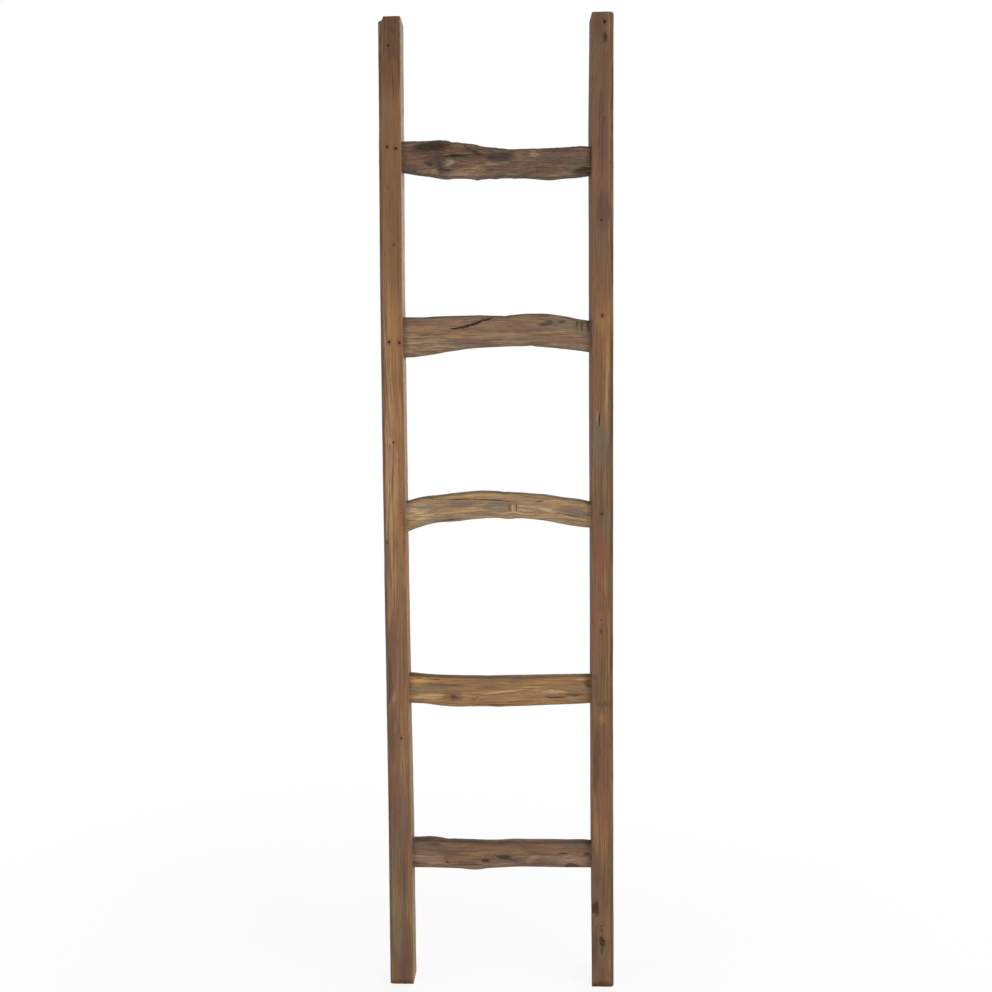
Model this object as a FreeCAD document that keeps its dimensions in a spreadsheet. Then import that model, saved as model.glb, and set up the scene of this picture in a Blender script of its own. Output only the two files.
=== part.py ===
import FreeCAD, Part
import os

import Sketcher

# A blanket ladder of reclaimed timber: two squared rails, five crooked rungs sawn flat on two sides
# with their natural edges left on, tenons let into the rails, and nails driven through the tenons.
# X runs across the ladder, Y from front to back, Z up. The rails stand on Z = 0.

LEFT, RIGHT = -1, 1
RUNGS = ("bottom", "lower", "middle", "upper", "top")

doc = FreeCAD.newDocument("blanket_ladder")
sizes = doc.addObject("Spreadsheet::Sheet", "sizes")
sheet_row = 0


def size(alias, value):
    """One driving dimension: its name in column A, its plain number in column B."""
    global sheet_row
    sheet_row += 1
    sizes.set(f"A{sheet_row}", alias)
    sizes.set(f"B{sheet_row}", str(value))
    sizes.setAlias(f"B{sheet_row}", alias)


def sizes_along(alias, values):
    """The same dimension at several stations along a piece."""
    for station, value in enumerate(values):
        size(f"{alias}_{station}", value)


# ---- whole ladder -------------------------------------------------------------------------------
size("overall_height", 1800)
size("overall_width", 429)
size("rail_depth", 50)
size("rail_arris", 1.5)

# ---- left rail: a bowed stick, given by its outer edge and the width of its face ----------------
LEFT_STATIONS = (0, 320, 700, 1330)
sizes_along("left_station", LEFT_STATIONS)
sizes_along("left_inset", (2.9, 3.0, 1.2, 0, 2.8))
sizes_along("left_face", (44.5, 43.2, 41.2, 40.6, 40.2))
size("broken_corner_width", 8.5)
size("broken_corner_drop", 9.5)
size("broken_corner_ledge", 6)
size("broken_corner_lip", 1)

# ---- right rail: straight inside, a little fuller at the foot -----------------------------------
RIGHT_STATIONS = (0, 600)
sizes_along("right_station", RIGHT_STATIONS)
sizes_along("right_inset", (0, 2.3, 2.8))
size("right_face", 41.5)

# ---- wanes: natural flats left along the rails' outer front arrises -----------------------------
WANES = {
    "left_low": (LEFT, 500, 715, 6.0),
    "left_top": (LEFT, 1560, 1830, 3.2),
    "right_long": (RIGHT, 330, 1640, 2.6),
}
size("wane_clearance", 12)
for name, (side, foot, head, deep) in WANES.items():
    size(f"{name}_wane_foot", foot)
    size(f"{name}_wane_head", head)
    size(f"{name}_wane_deep", deep)

# ---- rungs: height of the tenons, and the crooked edges above and below them --------------------
# Stations are fractions of the way from the ladder's middle to the rung's ends.
SEVEN_STATIONS = (-1, -0.66, -0.33, 0, 0.33, 0.66, 1)
FIVE_STATIONS = (-1, -0.5, 0, 0.5, 1)
RUNG_STATIONS = {"top": SEVEN_STATIONS, "upper": SEVEN_STATIONS, "middle": SEVEN_STATIONS,
                 "lower": FIVE_STATIONS, "bottom": FIVE_STATIONS}
RUNG_LEVEL = {"bottom": 250, "lower": 570, "middle": 898, "upper": 1228, "top": 1550}
EDGE_ABOVE = {
    "top": (33, 35, 29, 18, 17, 19, 19),
    "upper": (36, 38, 39, 38, 41, 38, 27),
    "middle": (26, 37, 44, 45, 41, 34, 23),
    "lower": (29, 24, 24, 26, 28),
    "bottom": (30, 27, 25, 28, 26),
}
EDGE_BELOW = {
    "top": (23, 31, 35, 34, 36, 38, 32),
    "upper": (36, 30, 21, 17, 16, 21, 29),
    "middle": (27, 14, 8, 5, 7, 16, 24),
    "lower": (28, 35, 34, 32, 28),
    "bottom": (28, 31, 27, 26, 26),
}
RUNG_THICKNESS = {"bottom": 28, "lower": 27, "middle": 28, "upper": 29, "top": 31}
RUNG_SWAY = {"bottom": 1.5, "lower": -1.5, "middle": 2.0, "upper": -1.0, "top": -2.0}
# A natural edge, from a flat face to its ridge: fractions of half the thickness and of the crown.
CROWN_SHAPE = ((1, 1), (0.8, 0.4), (0.45, 0.11))
for rung in RUNGS:
    size(f"{rung}_level", RUNG_LEVEL[rung])
    size(f"{rung}_thickness", RUNG_THICKNESS[rung])
    size(f"{rung}_sway", RUNG_SWAY[rung])
    sizes_along(f"{rung}_above", EDGE_ABOVE[rung])
    sizes_along(f"{rung}_below", EDGE_BELOW[rung])
size("rung_axis_depth", -3)
size("natural_edge_crown", 9)
size("rung_overrun", 6)
size("shoulder_waste", 24)
size("through_cut", 200)

# ---- tenons and mortises ------------------------------------------------------------------------
size("tenon_height", 38)
size("tenon_thickness", 16)
size("tenon_length", 31)
size("tenon_root", 14)
size("mortise_bottom_gap", 1)

# ---- nails: how far each stands into the rail from its inner face, and above the tenon's middle --
size("nail_shank_width", 2.8)
size("nail_head_radius", 2.6)
size("nail_head_thickness", 1.2)
size("nail_point_length", 7)
size("nail_tip_width", 0.6)
size("nail_length", 42)
FRONT_NAILS = (
    ("top", LEFT, 25, 14.5),
    ("top", LEFT, 9, 11.5),
    ("upper", LEFT, 25, -10),
    ("upper", LEFT, 6, -11),
    ("middle", RIGHT, 17.5, 3.5),
)
BACK_NAILS = (
    ("middle", LEFT, 16, -4),
    ("lower", LEFT, 17, 3),
    ("bottom", LEFT, 15, -2),
    ("top", RIGHT, 16, 2),
    ("upper", RIGHT, 15, 5),
    ("lower", RIGHT, 17, -3),
    ("bottom", RIGHT, 16, 4),
)
for face, nails in (("front", FRONT_NAILS), ("back", BACK_NAILS)):
    for number, (rung, side, inward, rise) in enumerate(nails):
        size(f"{face}_nail_inward_{number}", inward)
        size(f"{face}_nail_rise_{number}", rise)

doc.recompute()


# ---- expressions for the places that several pieces share ---------------------------------------
def cell(name):
    return f"sizes.{name}"


def rail_edges(side):
    """Outer edge, inner face and height of a rail at each station, from the foot up."""
    if side == LEFT:
        count, name = len(LEFT_STATIONS), "left"
    else:
        count, name = len(RIGHT_STATIONS), "right"
    edges = []
    for station in range(count + 1):
        level = cell(f"{name}_station_{station}") if station < count else cell("overall_height")
        outer = f"({cell('overall_width')} / 2 - {cell(f'{name}_inset_{station}')})"
        inner = f"({cell('overall_width')} / 2 - {cell('right_face')})"
        if side == LEFT:
            inner = f"({outer} - {cell(f'left_face_{station}')})"
        edges.append((f"{side} * {outer}", f"{side} * {inner}", level))
    return edges


def stretch_at(rung, side):
    """The two rail stations between which a rung's end meets the rail."""
    edges = rail_edges(side)
    level = sizes.evalExpression(cell(f"{rung}_level"))
    for lower, upper in zip(edges, edges[1:]):
        if sizes.evalExpression(lower[2]) <= level <= sizes.evalExpression(upper[2]):
            return lower, upper
    raise ValueError(f"{rung} rung lies off the {side} rail")


def inner_face_at(rung, side):
    """Where the rail's inner face stands at the height of a rung."""
    (_, low_x, low_z), (_, high_x, high_z) = stretch_at(rung, side)
    climb = f"({cell(f'{rung}_level')} - {low_z}) / ({high_z} - {low_z})"
    return f"({low_x} + ({high_x} - {low_x}) * {climb})"


def tenon_middle(rung, side):
    """Height of a tenon's middle, from the rung's level: half way up the rung's end."""
    end = 0 if side == LEFT else len(RUNG_STATIONS[rung]) - 1
    return f"(({cell(f'{rung}_above_{end}')} - {cell(f'{rung}_below_{end}')}) / 2)"


def nail_place(face, number, rung, side):
    """Across and up: the point on a rail's face where a nail goes in, the height from the rung's level."""
    across = f"({inner_face_at(rung, side)} + {side} * {cell(f'{face}_nail_inward_{number}')})"
    up = f"({tenon_middle(rung, side)} + {cell(f'{face}_nail_rise_{number}')})"
    return across, up


# ---- sketch helpers -----------------------------------------------------------------------------
def origin_plane(body, role):
    return next(plane for plane in body.Origin.OriginFeatures if plane.Role == role)


def sketch_on(body, name, role, lift="0"):
    """A sketch on one of the body's own origin planes, lifted along the plane's normal."""
    sketch = body.newObject("Sketcher::SketchObject", name)
    sketch.AttachmentSupport = [(origin_plane(body, role), "")]
    sketch.MapMode = "FlatFace"
    sketch.setExpression("AttachmentOffset.Base.z", lift)
    return sketch


def pin_point(sketch, geometry, end, across, up):
    """Hold a point of the sketch at two distances from its origin, each bound to an expression."""
    for kind, distance in (("DistanceX", across), ("DistanceY", up)):
        value = float(sizes.evalExpression(distance))
        index = sketch.addConstraint(Sketcher.Constraint(kind, -1, 1, geometry, end, value))
        sketch.setExpression(f"Constraints[{index}]", distance)


def close_with_arc(sketch, arc, start, end, half_chord, crown):
    """Join an arc to two points already held, and bind its radius to its chord and its crown."""
    for joint in (start, end):
        joined = nearest_end(sketch, arc, sketch.getPoint(*joint))
        sketch.addConstraint(Sketcher.Constraint("Coincident", arc, joined, *joint))
    radius = f"(({half_chord}) ^ 2 + ({crown}) ^ 2) / (2 * {crown})"
    index = sketch.addConstraint(Sketcher.Constraint("Radius", arc, float(sizes.evalExpression(radius))))
    sketch.setExpression(f"Constraints[{index}]", radius)


def nearest_end(sketch, arc, point):
    """An arc runs anticlockwise, so its start may be either of the points it was drawn through."""
    return min((1, 2), key=lambda end: sketch.getPoint(arc, end).distanceToPoint(point))


def draw_outline(sketch, corners):
    """A closed outline of straight lines through corners given as pairs of expressions."""
    points = [FreeCAD.Vector(*(float(sizes.evalExpression(way)) for way in corner), 0)
              for corner in corners]
    lines = [sketch.addGeometry(Part.LineSegment(start, points[(place + 1) % len(points)]))
             for place, start in enumerate(points)]
    for place, line in enumerate(lines):
        following = lines[(place + 1) % len(lines)]
        sketch.addConstraint(Sketcher.Constraint("Coincident", line, 2, following, 1))
        pin_point(sketch, line, 1, *corners[place])


def draw_square(sketch, across, up, width):
    corners = ((-1, -1), (1, -1), (1, 1), (-1, 1))
    draw_outline(sketch, [(f"{across} + {way} * {width} / 2", f"{up} + {rise} * {width} / 2")
                          for way, rise in corners])


def draw_circle(sketch, across, up, radius):
    centre = FreeCAD.Vector(float(sizes.evalExpression(across)), float(sizes.evalExpression(up)), 0)
    start = float(sizes.evalExpression(radius))
    circle = sketch.addGeometry(Part.Circle(centre, FreeCAD.Vector(0, 0, 1), start))
    pin_point(sketch, circle, 3, across, up)
    index = sketch.addConstraint(Sketcher.Constraint("Radius", circle, start))
    sketch.setExpression(f"Constraints[{index}]", radius)


def extrude(body, kind, name, sketch, length, symmetric=False, reverse=False):
    """A pad or pocket of a sketch."""
    feature = body.newObject(f"PartDesign::{kind}", name)
    feature.Profile = sketch
    feature.setExpression("Length", length)
    feature.SideType = "Symmetric" if symmetric else "One side"
    feature.Reversed = reverse
    doc.recompute()
    return feature


def new_body(label):
    body = doc.addObject("PartDesign::Body", label)
    body.Label = label
    return body


# ---- rails --------------------------------------------------------------------------------------
def rail_outline(side):
    """Front view of a rail: up its outer edge, over the top and down its inner face."""
    edges = rail_edges(side)
    outer = [(across, level) for across, _, level in edges]
    inner = [(across, level) for _, across, level in edges]
    if side == LEFT:
        corner_x, corner_z = outer.pop()
        width, drop, ledge, lip = (cell(f"broken_corner_{way}") for way in ("width", "drop", "ledge", "lip"))
        outer += [(corner_x, f"{corner_z} - {drop}"),
                  (f"{corner_x} + {ledge}", f"{corner_z} - {drop} + {lip}"),
                  (f"{corner_x} + {width}", corner_z)]
    return outer + inner[::-1]


def cut_mortises(body, side):
    """One blind mortise for each rung, entered from the rail's inner face."""
    sketch = sketch_on(body, "mortise_outlines", "XZ_Plane", f"-{cell('rung_axis_depth')}")
    for rung in RUNGS:
        face = inner_face_at(rung, side)
        mouth = f"{face} - {side} * {cell('rung_overrun')}"
        bottom = f"{face} + {side} * ({cell('tenon_length')} + {cell('mortise_bottom_gap')})"
        middle = f"{cell(f'{rung}_level')} + {tenon_middle(rung, side)}"
        half = f"{cell('tenon_height')} / 2"
        draw_outline(sketch, [(mouth, f"{middle} - {half}"), (bottom, f"{middle} - {half}"),
                              (bottom, f"{middle} + {half}"), (mouth, f"{middle} + {half}")])
    extrude(body, "Pocket", "mortises", sketch, cell("tenon_thickness"), symmetric=True)


def cut_rail_nail_holes(body, side):
    """Square holes pressed by the shanks and flush seats for the heads, from the front and the back."""
    for face, nails, reverse, lift in (("front", FRONT_NAILS, False, f"{cell('rail_depth')} / 2"),
                                       ("back", BACK_NAILS, True, f"-{cell('rail_depth')} / 2")):
        mine = [(number, nail) for number, nail in enumerate(nails) if nail[1] == side]
        if not mine:
            continue
        for name, draw, across_nail, deep in (
                ("shank_holes", draw_square, "nail_shank_width", "nail_length"),
                ("head_seats", draw_circle, "nail_head_radius", "nail_head_thickness")):
            sketch = sketch_on(body, f"{face}_{name}_outline", "XZ_Plane", lift)
            for number, (rung, _, _, _) in mine:
                across, up = nail_place(face, number, rung, side)
                draw(sketch, across, f"{cell(f'{rung}_level')} + {up}", cell(across_nail))
            extrude(body, "Pocket", f"{face}_{name}", sketch, cell(deep), reverse=reverse)


def cut_wane(body, name, side):
    """A flat at 45 degrees on the outer front arris, whose depth rises and falls along a long arc."""
    foot, head, deep = (cell(f"{name}_wane_{end}") for end in ("foot", "head", "deep"))
    low, high, sagitta = (float(sizes.evalExpression(way)) for way in (foot, head, deep))
    sketch = body.newObject("Sketcher::SketchObject", f"{name}_wane_outline")
    sketch.AttachmentSupport = [(origin_plane(body, "XZ_Plane"), "")]
    sketch.MapMode = "FlatFace"
    turn = FreeCAD.Rotation(FreeCAD.Vector(0, 1, 0), -45 * side)
    sketch.AttachmentOffset = FreeCAD.Placement(FreeCAD.Vector(), turn)
    sketch.setExpression("AttachmentOffset.Base.x", f"{side} * {cell('overall_width')} / 2")
    sketch.setExpression("AttachmentOffset.Base.z", f"{cell('rail_depth')} / 2")
    clear = side * float(sizes.evalExpression(cell("wane_clearance")))
    inside = FreeCAD.Vector(-side * sagitta, (low + high) / 2, 0)
    corners = [FreeCAD.Vector(0, high, 0), FreeCAD.Vector(clear, high, 0),
               FreeCAD.Vector(clear, low, 0), FreeCAD.Vector(0, low, 0)]
    lines = [sketch.addGeometry(Part.LineSegment(*pair)) for pair in zip(corners, corners[1:])]
    arc = sketch.addGeometry(Part.Arc(corners[0], inside, corners[-1]))
    for line, following in zip(lines, lines[1:]):
        sketch.addConstraint(Sketcher.Constraint("Coincident", line, 2, following, 1))
    away = f"{side} * {cell('wane_clearance')}"
    pin_point(sketch, lines[0], 1, "0", head)
    pin_point(sketch, lines[1], 1, away, head)
    pin_point(sketch, lines[2], 1, away, foot)
    pin_point(sketch, lines[2], 2, "0", foot)
    close_with_arc(sketch, arc, (lines[0], 1), (lines[2], 2), f"(({head}) - ({foot})) / 2", deep)
    extrude(body, "Pocket", f"{name}_wane", sketch, cell("through_cut"), symmetric=True)


def make_rail(side, label):
    body = new_body(label)
    front_view = sketch_on(body, "front_outline", "XZ_Plane")
    draw_outline(front_view, rail_outline(side))
    timber = extrude(body, "Pad", "squared_timber", front_view, cell("rail_depth"), symmetric=True)
    across_the_grain = sizes.evalExpression(cell("rail_depth"))
    long_edges = [f"Edge{number}" for number, edge in enumerate(timber.Shape.Edges, 1)
                  if edge.BoundBox.ZLength > across_the_grain]
    eased = body.newObject("PartDesign::Fillet", "eased_arrises")
    eased.Base = (timber, long_edges)
    eased.setExpression("Radius", cell("rail_arris"))
    doc.recompute()
    for name, (wane_side, _, _, _) in WANES.items():
        if wane_side == side:
            cut_wane(body, name, side)
    cut_mortises(body, side)
    cut_rail_nail_holes(body, side)
    return body


# ---- rungs --------------------------------------------------------------------------------------
def draw_slab_section(sketch, middle, half, above, below):
    """Section of a sawn slab: flat front and back, and a rounded natural edge above and below."""
    front = [(-way, fall) for way, fall in CROWN_SHAPE]
    profile = front + [(0, 0)] + list(CROWN_SHAPE)[::-1]
    crown = cell("natural_edge_crown")
    upper = [(f"{middle} + {way} * {half}", f"{above} - {fall} * {crown}") for way, fall in profile]
    under = [(f"{middle} + {way} * {half}", f"{fall} * {crown} - {below}") for way, fall in profile]
    draw_outline(sketch, upper + under[::-1])


def loft_slab(body, rung):
    """The crooked slab: sections across the grain, lofted from one end to the other."""
    stations = RUNG_STATIONS[rung]
    half = f"{cell(f'{rung}_thickness')} / 2"
    reach = f"({cell('overall_width')} / 2 - {cell('right_face')} + {cell('rung_overrun')})"
    sections = []
    for number, fraction in enumerate(stations):
        sketch = sketch_on(body, f"section_{number}", "YZ_Plane", f"{fraction} * {reach}")
        middle = f"{cell('rung_axis_depth')} + {cell(f'{rung}_sway')} * {1 - fraction * fraction:.3f}"
        draw_slab_section(sketch, f"({middle})", half,
                          cell(f"{rung}_above_{number}"), cell(f"{rung}_below_{number}"))
        sections.append(sketch)
    loft = body.newObject("PartDesign::AdditiveLoft", "crooked_slab")
    loft.Profile = sections[0]
    loft.Sections = sections[1:]
    doc.recompute()


def cut_shoulders(body, rung):
    """Both ends sawn to lie against the rails' inner faces."""
    sketch = sketch_on(body, "shoulder_cuts", "XZ_Plane")
    level = cell(f"{rung}_level")
    for side in (LEFT, RIGHT):
        (_, low_x, low_z), (_, high_x, high_z) = stretch_at(rung, side)
        waste = f"{side} * {cell('shoulder_waste')}"
        draw_outline(sketch, [(low_x, f"{low_z} - {level}"), (f"{low_x} + {waste}", f"{low_z} - {level}"),
                              (f"{high_x} + {waste}", f"{high_z} - {level}"),
                              (high_x, f"{high_z} - {level}")])
    extrude(body, "Pocket", "sawn_shoulders", sketch, cell("through_cut"), symmetric=True)


def add_tenons(body, rung):
    """A tenon at each end, rooted inside the slab."""
    sketch = sketch_on(body, "tenon_outlines", "XZ_Plane", f"-{cell('rung_axis_depth')}")
    half = f"{cell('tenon_height')} / 2"
    for side in (LEFT, RIGHT):
        face, middle = inner_face_at(rung, side), tenon_middle(rung, side)
        tip = f"{face} + {side} * {cell('tenon_length')}"
        root = f"{face} - {side} * {cell('tenon_root')}"
        draw_outline(sketch, [(root, f"{middle} - {half}"), (tip, f"{middle} - {half}"),
                              (tip, f"{middle} + {half}"), (root, f"{middle} + {half}")])
    extrude(body, "Pad", "tenons", sketch, cell("tenon_thickness"), symmetric=True)


def pierce_tenons(body, rung):
    """Where the nails pass through the tenons."""
    sketch = sketch_on(body, "nail_holes_outline", "XZ_Plane")
    for face, nails in (("front", FRONT_NAILS), ("back", BACK_NAILS)):
        for number, (nailed, side, _, _) in enumerate(nails):
            if nailed == rung:
                draw_square(sketch, *nail_place(face, number, rung, side), cell("nail_shank_width"))
    extrude(body, "Pocket", "nail_holes", sketch, cell("through_cut"), symmetric=True)


def make_rung(rung):
    body = new_body(f"{rung}_rung")
    body.setExpression("Placement.Base.z", cell(f"{rung}_level"))
    loft_slab(body, rung)
    cut_shoulders(body, rung)
    add_tenons(body, rung)
    pierce_tenons(body, rung)
    return body


# ---- nails --------------------------------------------------------------------------------------
def nail_stretch(kind, name, along, turn, **lengths):
    """One stretch of a nail, placed along it from the head."""
    stretch = doc.addObject(f"Part::{kind}", name)
    for way, expression in lengths.items():
        stretch.setExpression(way, expression)
    stretch.Placement = FreeCAD.Placement(FreeCAD.Vector(), FreeCAD.Rotation(FreeCAD.Vector(1, 0, 0), turn))
    stretch.setExpression("Placement.Base.y", along)
    return stretch


def make_nail(face, number, rung, side):
    """Round head, square shank and four-sided point in one piece, driven square into the rail's face."""
    name = f"{face}_nail_{number}"
    thickness, width = cell("nail_head_thickness"), cell("nail_shank_width")
    shank_end = f"{cell('nail_length')} - {cell('nail_point_length')}"
    head = nail_stretch("Cylinder", f"{name}_head", "0", -90,
                        Radius=cell("nail_head_radius"), Height=thickness)
    side_to_side = {f"{axis}{end}": f"{way} * {width} / 2"
                    for axis in ("X", "Z") for end, way in (("min", -1), ("max", 1))}
    straight = {f"{axis}2{end}": f"{way} * {width} / 2"
                for axis in ("X", "Z") for end, way in (("min", -1), ("max", 1))}
    tapered = {f"{axis}2{end}": f"{way} * {cell('nail_tip_width')} / 2"
               for axis in ("X", "Z") for end, way in (("min", -1), ("max", 1))}
    shank = nail_stretch("Wedge", f"{name}_shank", "0", 0, Ymin=thickness, Ymax=shank_end,
                         **side_to_side, **straight)
    point = nail_stretch("Wedge", f"{name}_point", "0", 0, Ymin=shank_end, Ymax=cell("nail_length"),
                         **side_to_side, **tapered)
    nail = doc.addObject("Part::MultiFuse", name)
    nail.Shapes = [head, shank, point]
    turn = 0 if face == "front" else 180
    nail.Placement = FreeCAD.Placement(FreeCAD.Vector(), FreeCAD.Rotation(FreeCAD.Vector(0, 0, 1), turn))
    across, up = nail_place(face, number, rung, side)
    nail.setExpression("Placement.Base.x", across)
    nail.setExpression("Placement.Base.y", f"{-1 if face == 'front' else 1} * {cell('rail_depth')} / 2")
    nail.setExpression("Placement.Base.z", f"{cell(f'{rung}_level')} + {up}")
    return nail


def make_nails(face, nails):
    group = doc.addObject("Part::Compound", f"{face}_nails")
    group.Label = f"{face}_nails"
    group.Links = [make_nail(face, number, rung, side) for number, (rung, side, _, _) in enumerate(nails)]
    doc.recompute()
    return group


# ---- checks and files ---------------------------------------------------------------------------
def check_document():
    """Stop if anything in the document failed without saying so."""
    doc.recompute()
    failed = [thing.Label for thing in doc.Objects if {"Invalid", "Error"} & set(thing.State)]
    if failed:
        raise RuntimeError(f"failed: {failed}")


def write_piece(piece):
    shape = piece.Shape
    if shape.isNull() or not shape.isValid():
        raise RuntimeError(f"{piece.Label} has no valid shape")
    shape.exportStep(os.path.join("parts", f"{piece.Label}.step"))
    box = shape.BoundBox
    print(f"{piece.Label}: {len(shape.Solids)} solids, {shape.Volume / 1000:.1f} cm3, "
          f"x {box.XMin:.1f} to {box.XMax:.1f}, y {box.YMin:.1f} to {box.YMax:.1f}, "
          f"z {box.ZMin:.1f} to {box.ZMax:.1f}")


pieces = [make_rail(LEFT, "left_rail"), make_rail(RIGHT, "right_rail")]
pieces += [make_rung(rung) for rung in RUNGS]
pieces += [make_nails("front", FRONT_NAILS), make_nails("back", BACK_NAILS)]
check_document()
os.makedirs("parts", exist_ok=True)
for piece in pieces:
    write_piece(piece)
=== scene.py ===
"""A blanket ladder of reclaimed timber: two squared rails, five crooked rungs and their nails.

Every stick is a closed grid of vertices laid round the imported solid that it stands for. The grid is
denser where a knot, a crack or an old nail hole needs it. It carries the grain of the tree as
attributes that the timber materials read. Lengths are in millimetres until a mesh is made.
"""
import math
from typing import NamedTuple

import bpy
import numpy as np
from mathutils import Euler, Matrix, Vector
from mathutils.bvhtree import BVHTree


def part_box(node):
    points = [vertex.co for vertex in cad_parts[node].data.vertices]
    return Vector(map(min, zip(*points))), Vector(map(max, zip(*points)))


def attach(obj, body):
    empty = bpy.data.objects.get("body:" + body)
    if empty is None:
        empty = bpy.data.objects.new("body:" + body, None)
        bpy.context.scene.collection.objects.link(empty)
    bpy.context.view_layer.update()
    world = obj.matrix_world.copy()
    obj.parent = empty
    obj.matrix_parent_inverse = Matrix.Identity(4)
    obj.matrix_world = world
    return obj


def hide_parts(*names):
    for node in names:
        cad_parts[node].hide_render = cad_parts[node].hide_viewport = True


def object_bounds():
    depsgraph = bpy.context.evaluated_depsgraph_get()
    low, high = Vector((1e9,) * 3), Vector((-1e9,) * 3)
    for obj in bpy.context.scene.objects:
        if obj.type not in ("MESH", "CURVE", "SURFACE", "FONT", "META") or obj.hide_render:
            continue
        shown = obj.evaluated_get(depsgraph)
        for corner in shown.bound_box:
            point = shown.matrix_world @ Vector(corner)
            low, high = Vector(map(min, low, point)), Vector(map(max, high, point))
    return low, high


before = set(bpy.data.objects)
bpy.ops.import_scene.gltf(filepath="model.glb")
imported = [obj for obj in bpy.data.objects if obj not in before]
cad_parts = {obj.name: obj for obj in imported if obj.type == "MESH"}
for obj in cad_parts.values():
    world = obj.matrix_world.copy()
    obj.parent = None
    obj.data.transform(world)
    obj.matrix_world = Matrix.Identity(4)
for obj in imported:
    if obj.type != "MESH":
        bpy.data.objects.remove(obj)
cad_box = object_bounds()

bl_info = {
    "name": "Blanket ladder",
    "version": (1, 0, 0),
    "blender": (4, 5, 0),
    "location": "View3D > Sidebar > Ladder",
    "description": "Builds a blanket ladder of reclaimed timber round its packed solids",
    "category": "Object",
}

MM = 0.001
X, Y, Z = 0, 1, 2
FLOOR = 0.0
# How far a rung goes into the rails, past its shoulders.
SHOULDER_DEPTH = 3.0
# How far outside a rung a ray starts.
CLEAR = 50.0


# ---- what each stick of timber looks like --------------------------------------------------------
# Along a rail is its height over the floor, and across it is measured from the ladder's middle. Along a
# rung is measured from the ladder's middle, and across it from the rung's level. Leans are in degrees.
class Mark(NamedTuple):
    """A patch or streak of another tone on one face, feathered along the grain."""
    tone: str
    along: float
    across: float
    length: float
    width: float
    amount: float = 1.0
    lean: float = 0.0
    face: str = "front"


class Knot(NamedTuple):
    """Where a branch grew, and the rings bend round it; it stands proud by its swell, or is sunk."""
    along: float
    across: float
    radius: float
    stretch: float = 1.5
    swell: float = 0.0
    depth_of_tone: float = 1.0
    face: str = "front"


class Crack(NamedTuple):
    """A drying crack through points given as (along, across), with more or less ragged lips."""
    points: tuple
    width: float
    depth: float
    ragged: float = 0.35
    face: str = "front"


class Dent(NamedTuple):
    """A long hollow of a face, painted darker in its depth as shade, or a ridge where its depth is negative.
    """
    along: float
    across: float
    length: float
    width: float
    depth: float
    lean: float = 0.0
    face: str = "front"


class Hole(NamedTuple):
    """An old nail hole with the stain that the iron left round it."""
    along: float
    across: float
    radius: float
    depth: float = 4.0
    stain: float = 0.6
    face: str = "front"


class Bump(NamedTuple):
    """A natural edge moved up by its height at its middle, or down where the height is negative."""
    along: float
    length: float
    height: float
    edge: str = "top"


class Timber(NamedTuple):
    """One stick: how it grew, how rough it is, and what has happened to it.

    The level is where a rung lies over the floor. The pith is the middle of the tree, across and in
    depth. The worn side is that of a rail's outer face, which is grey and dirty. On a rung it is 0:
    both natural edges are grey and the upper one is dirty. The tint multiplies the finish's colours.
    """
    node: str
    level: float
    pith: tuple
    ring_width: float
    rough: float
    edge_grey: float
    edge_dark: float
    worn_side: int = 0
    tint: tuple = (1.0, 1.0, 1.0)
    marks: tuple = ()
    knots: tuple = ()
    cracks: tuple = ()
    holes: tuple = ()
    dents: tuple = ()
    bumps: tuple = ()


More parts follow.
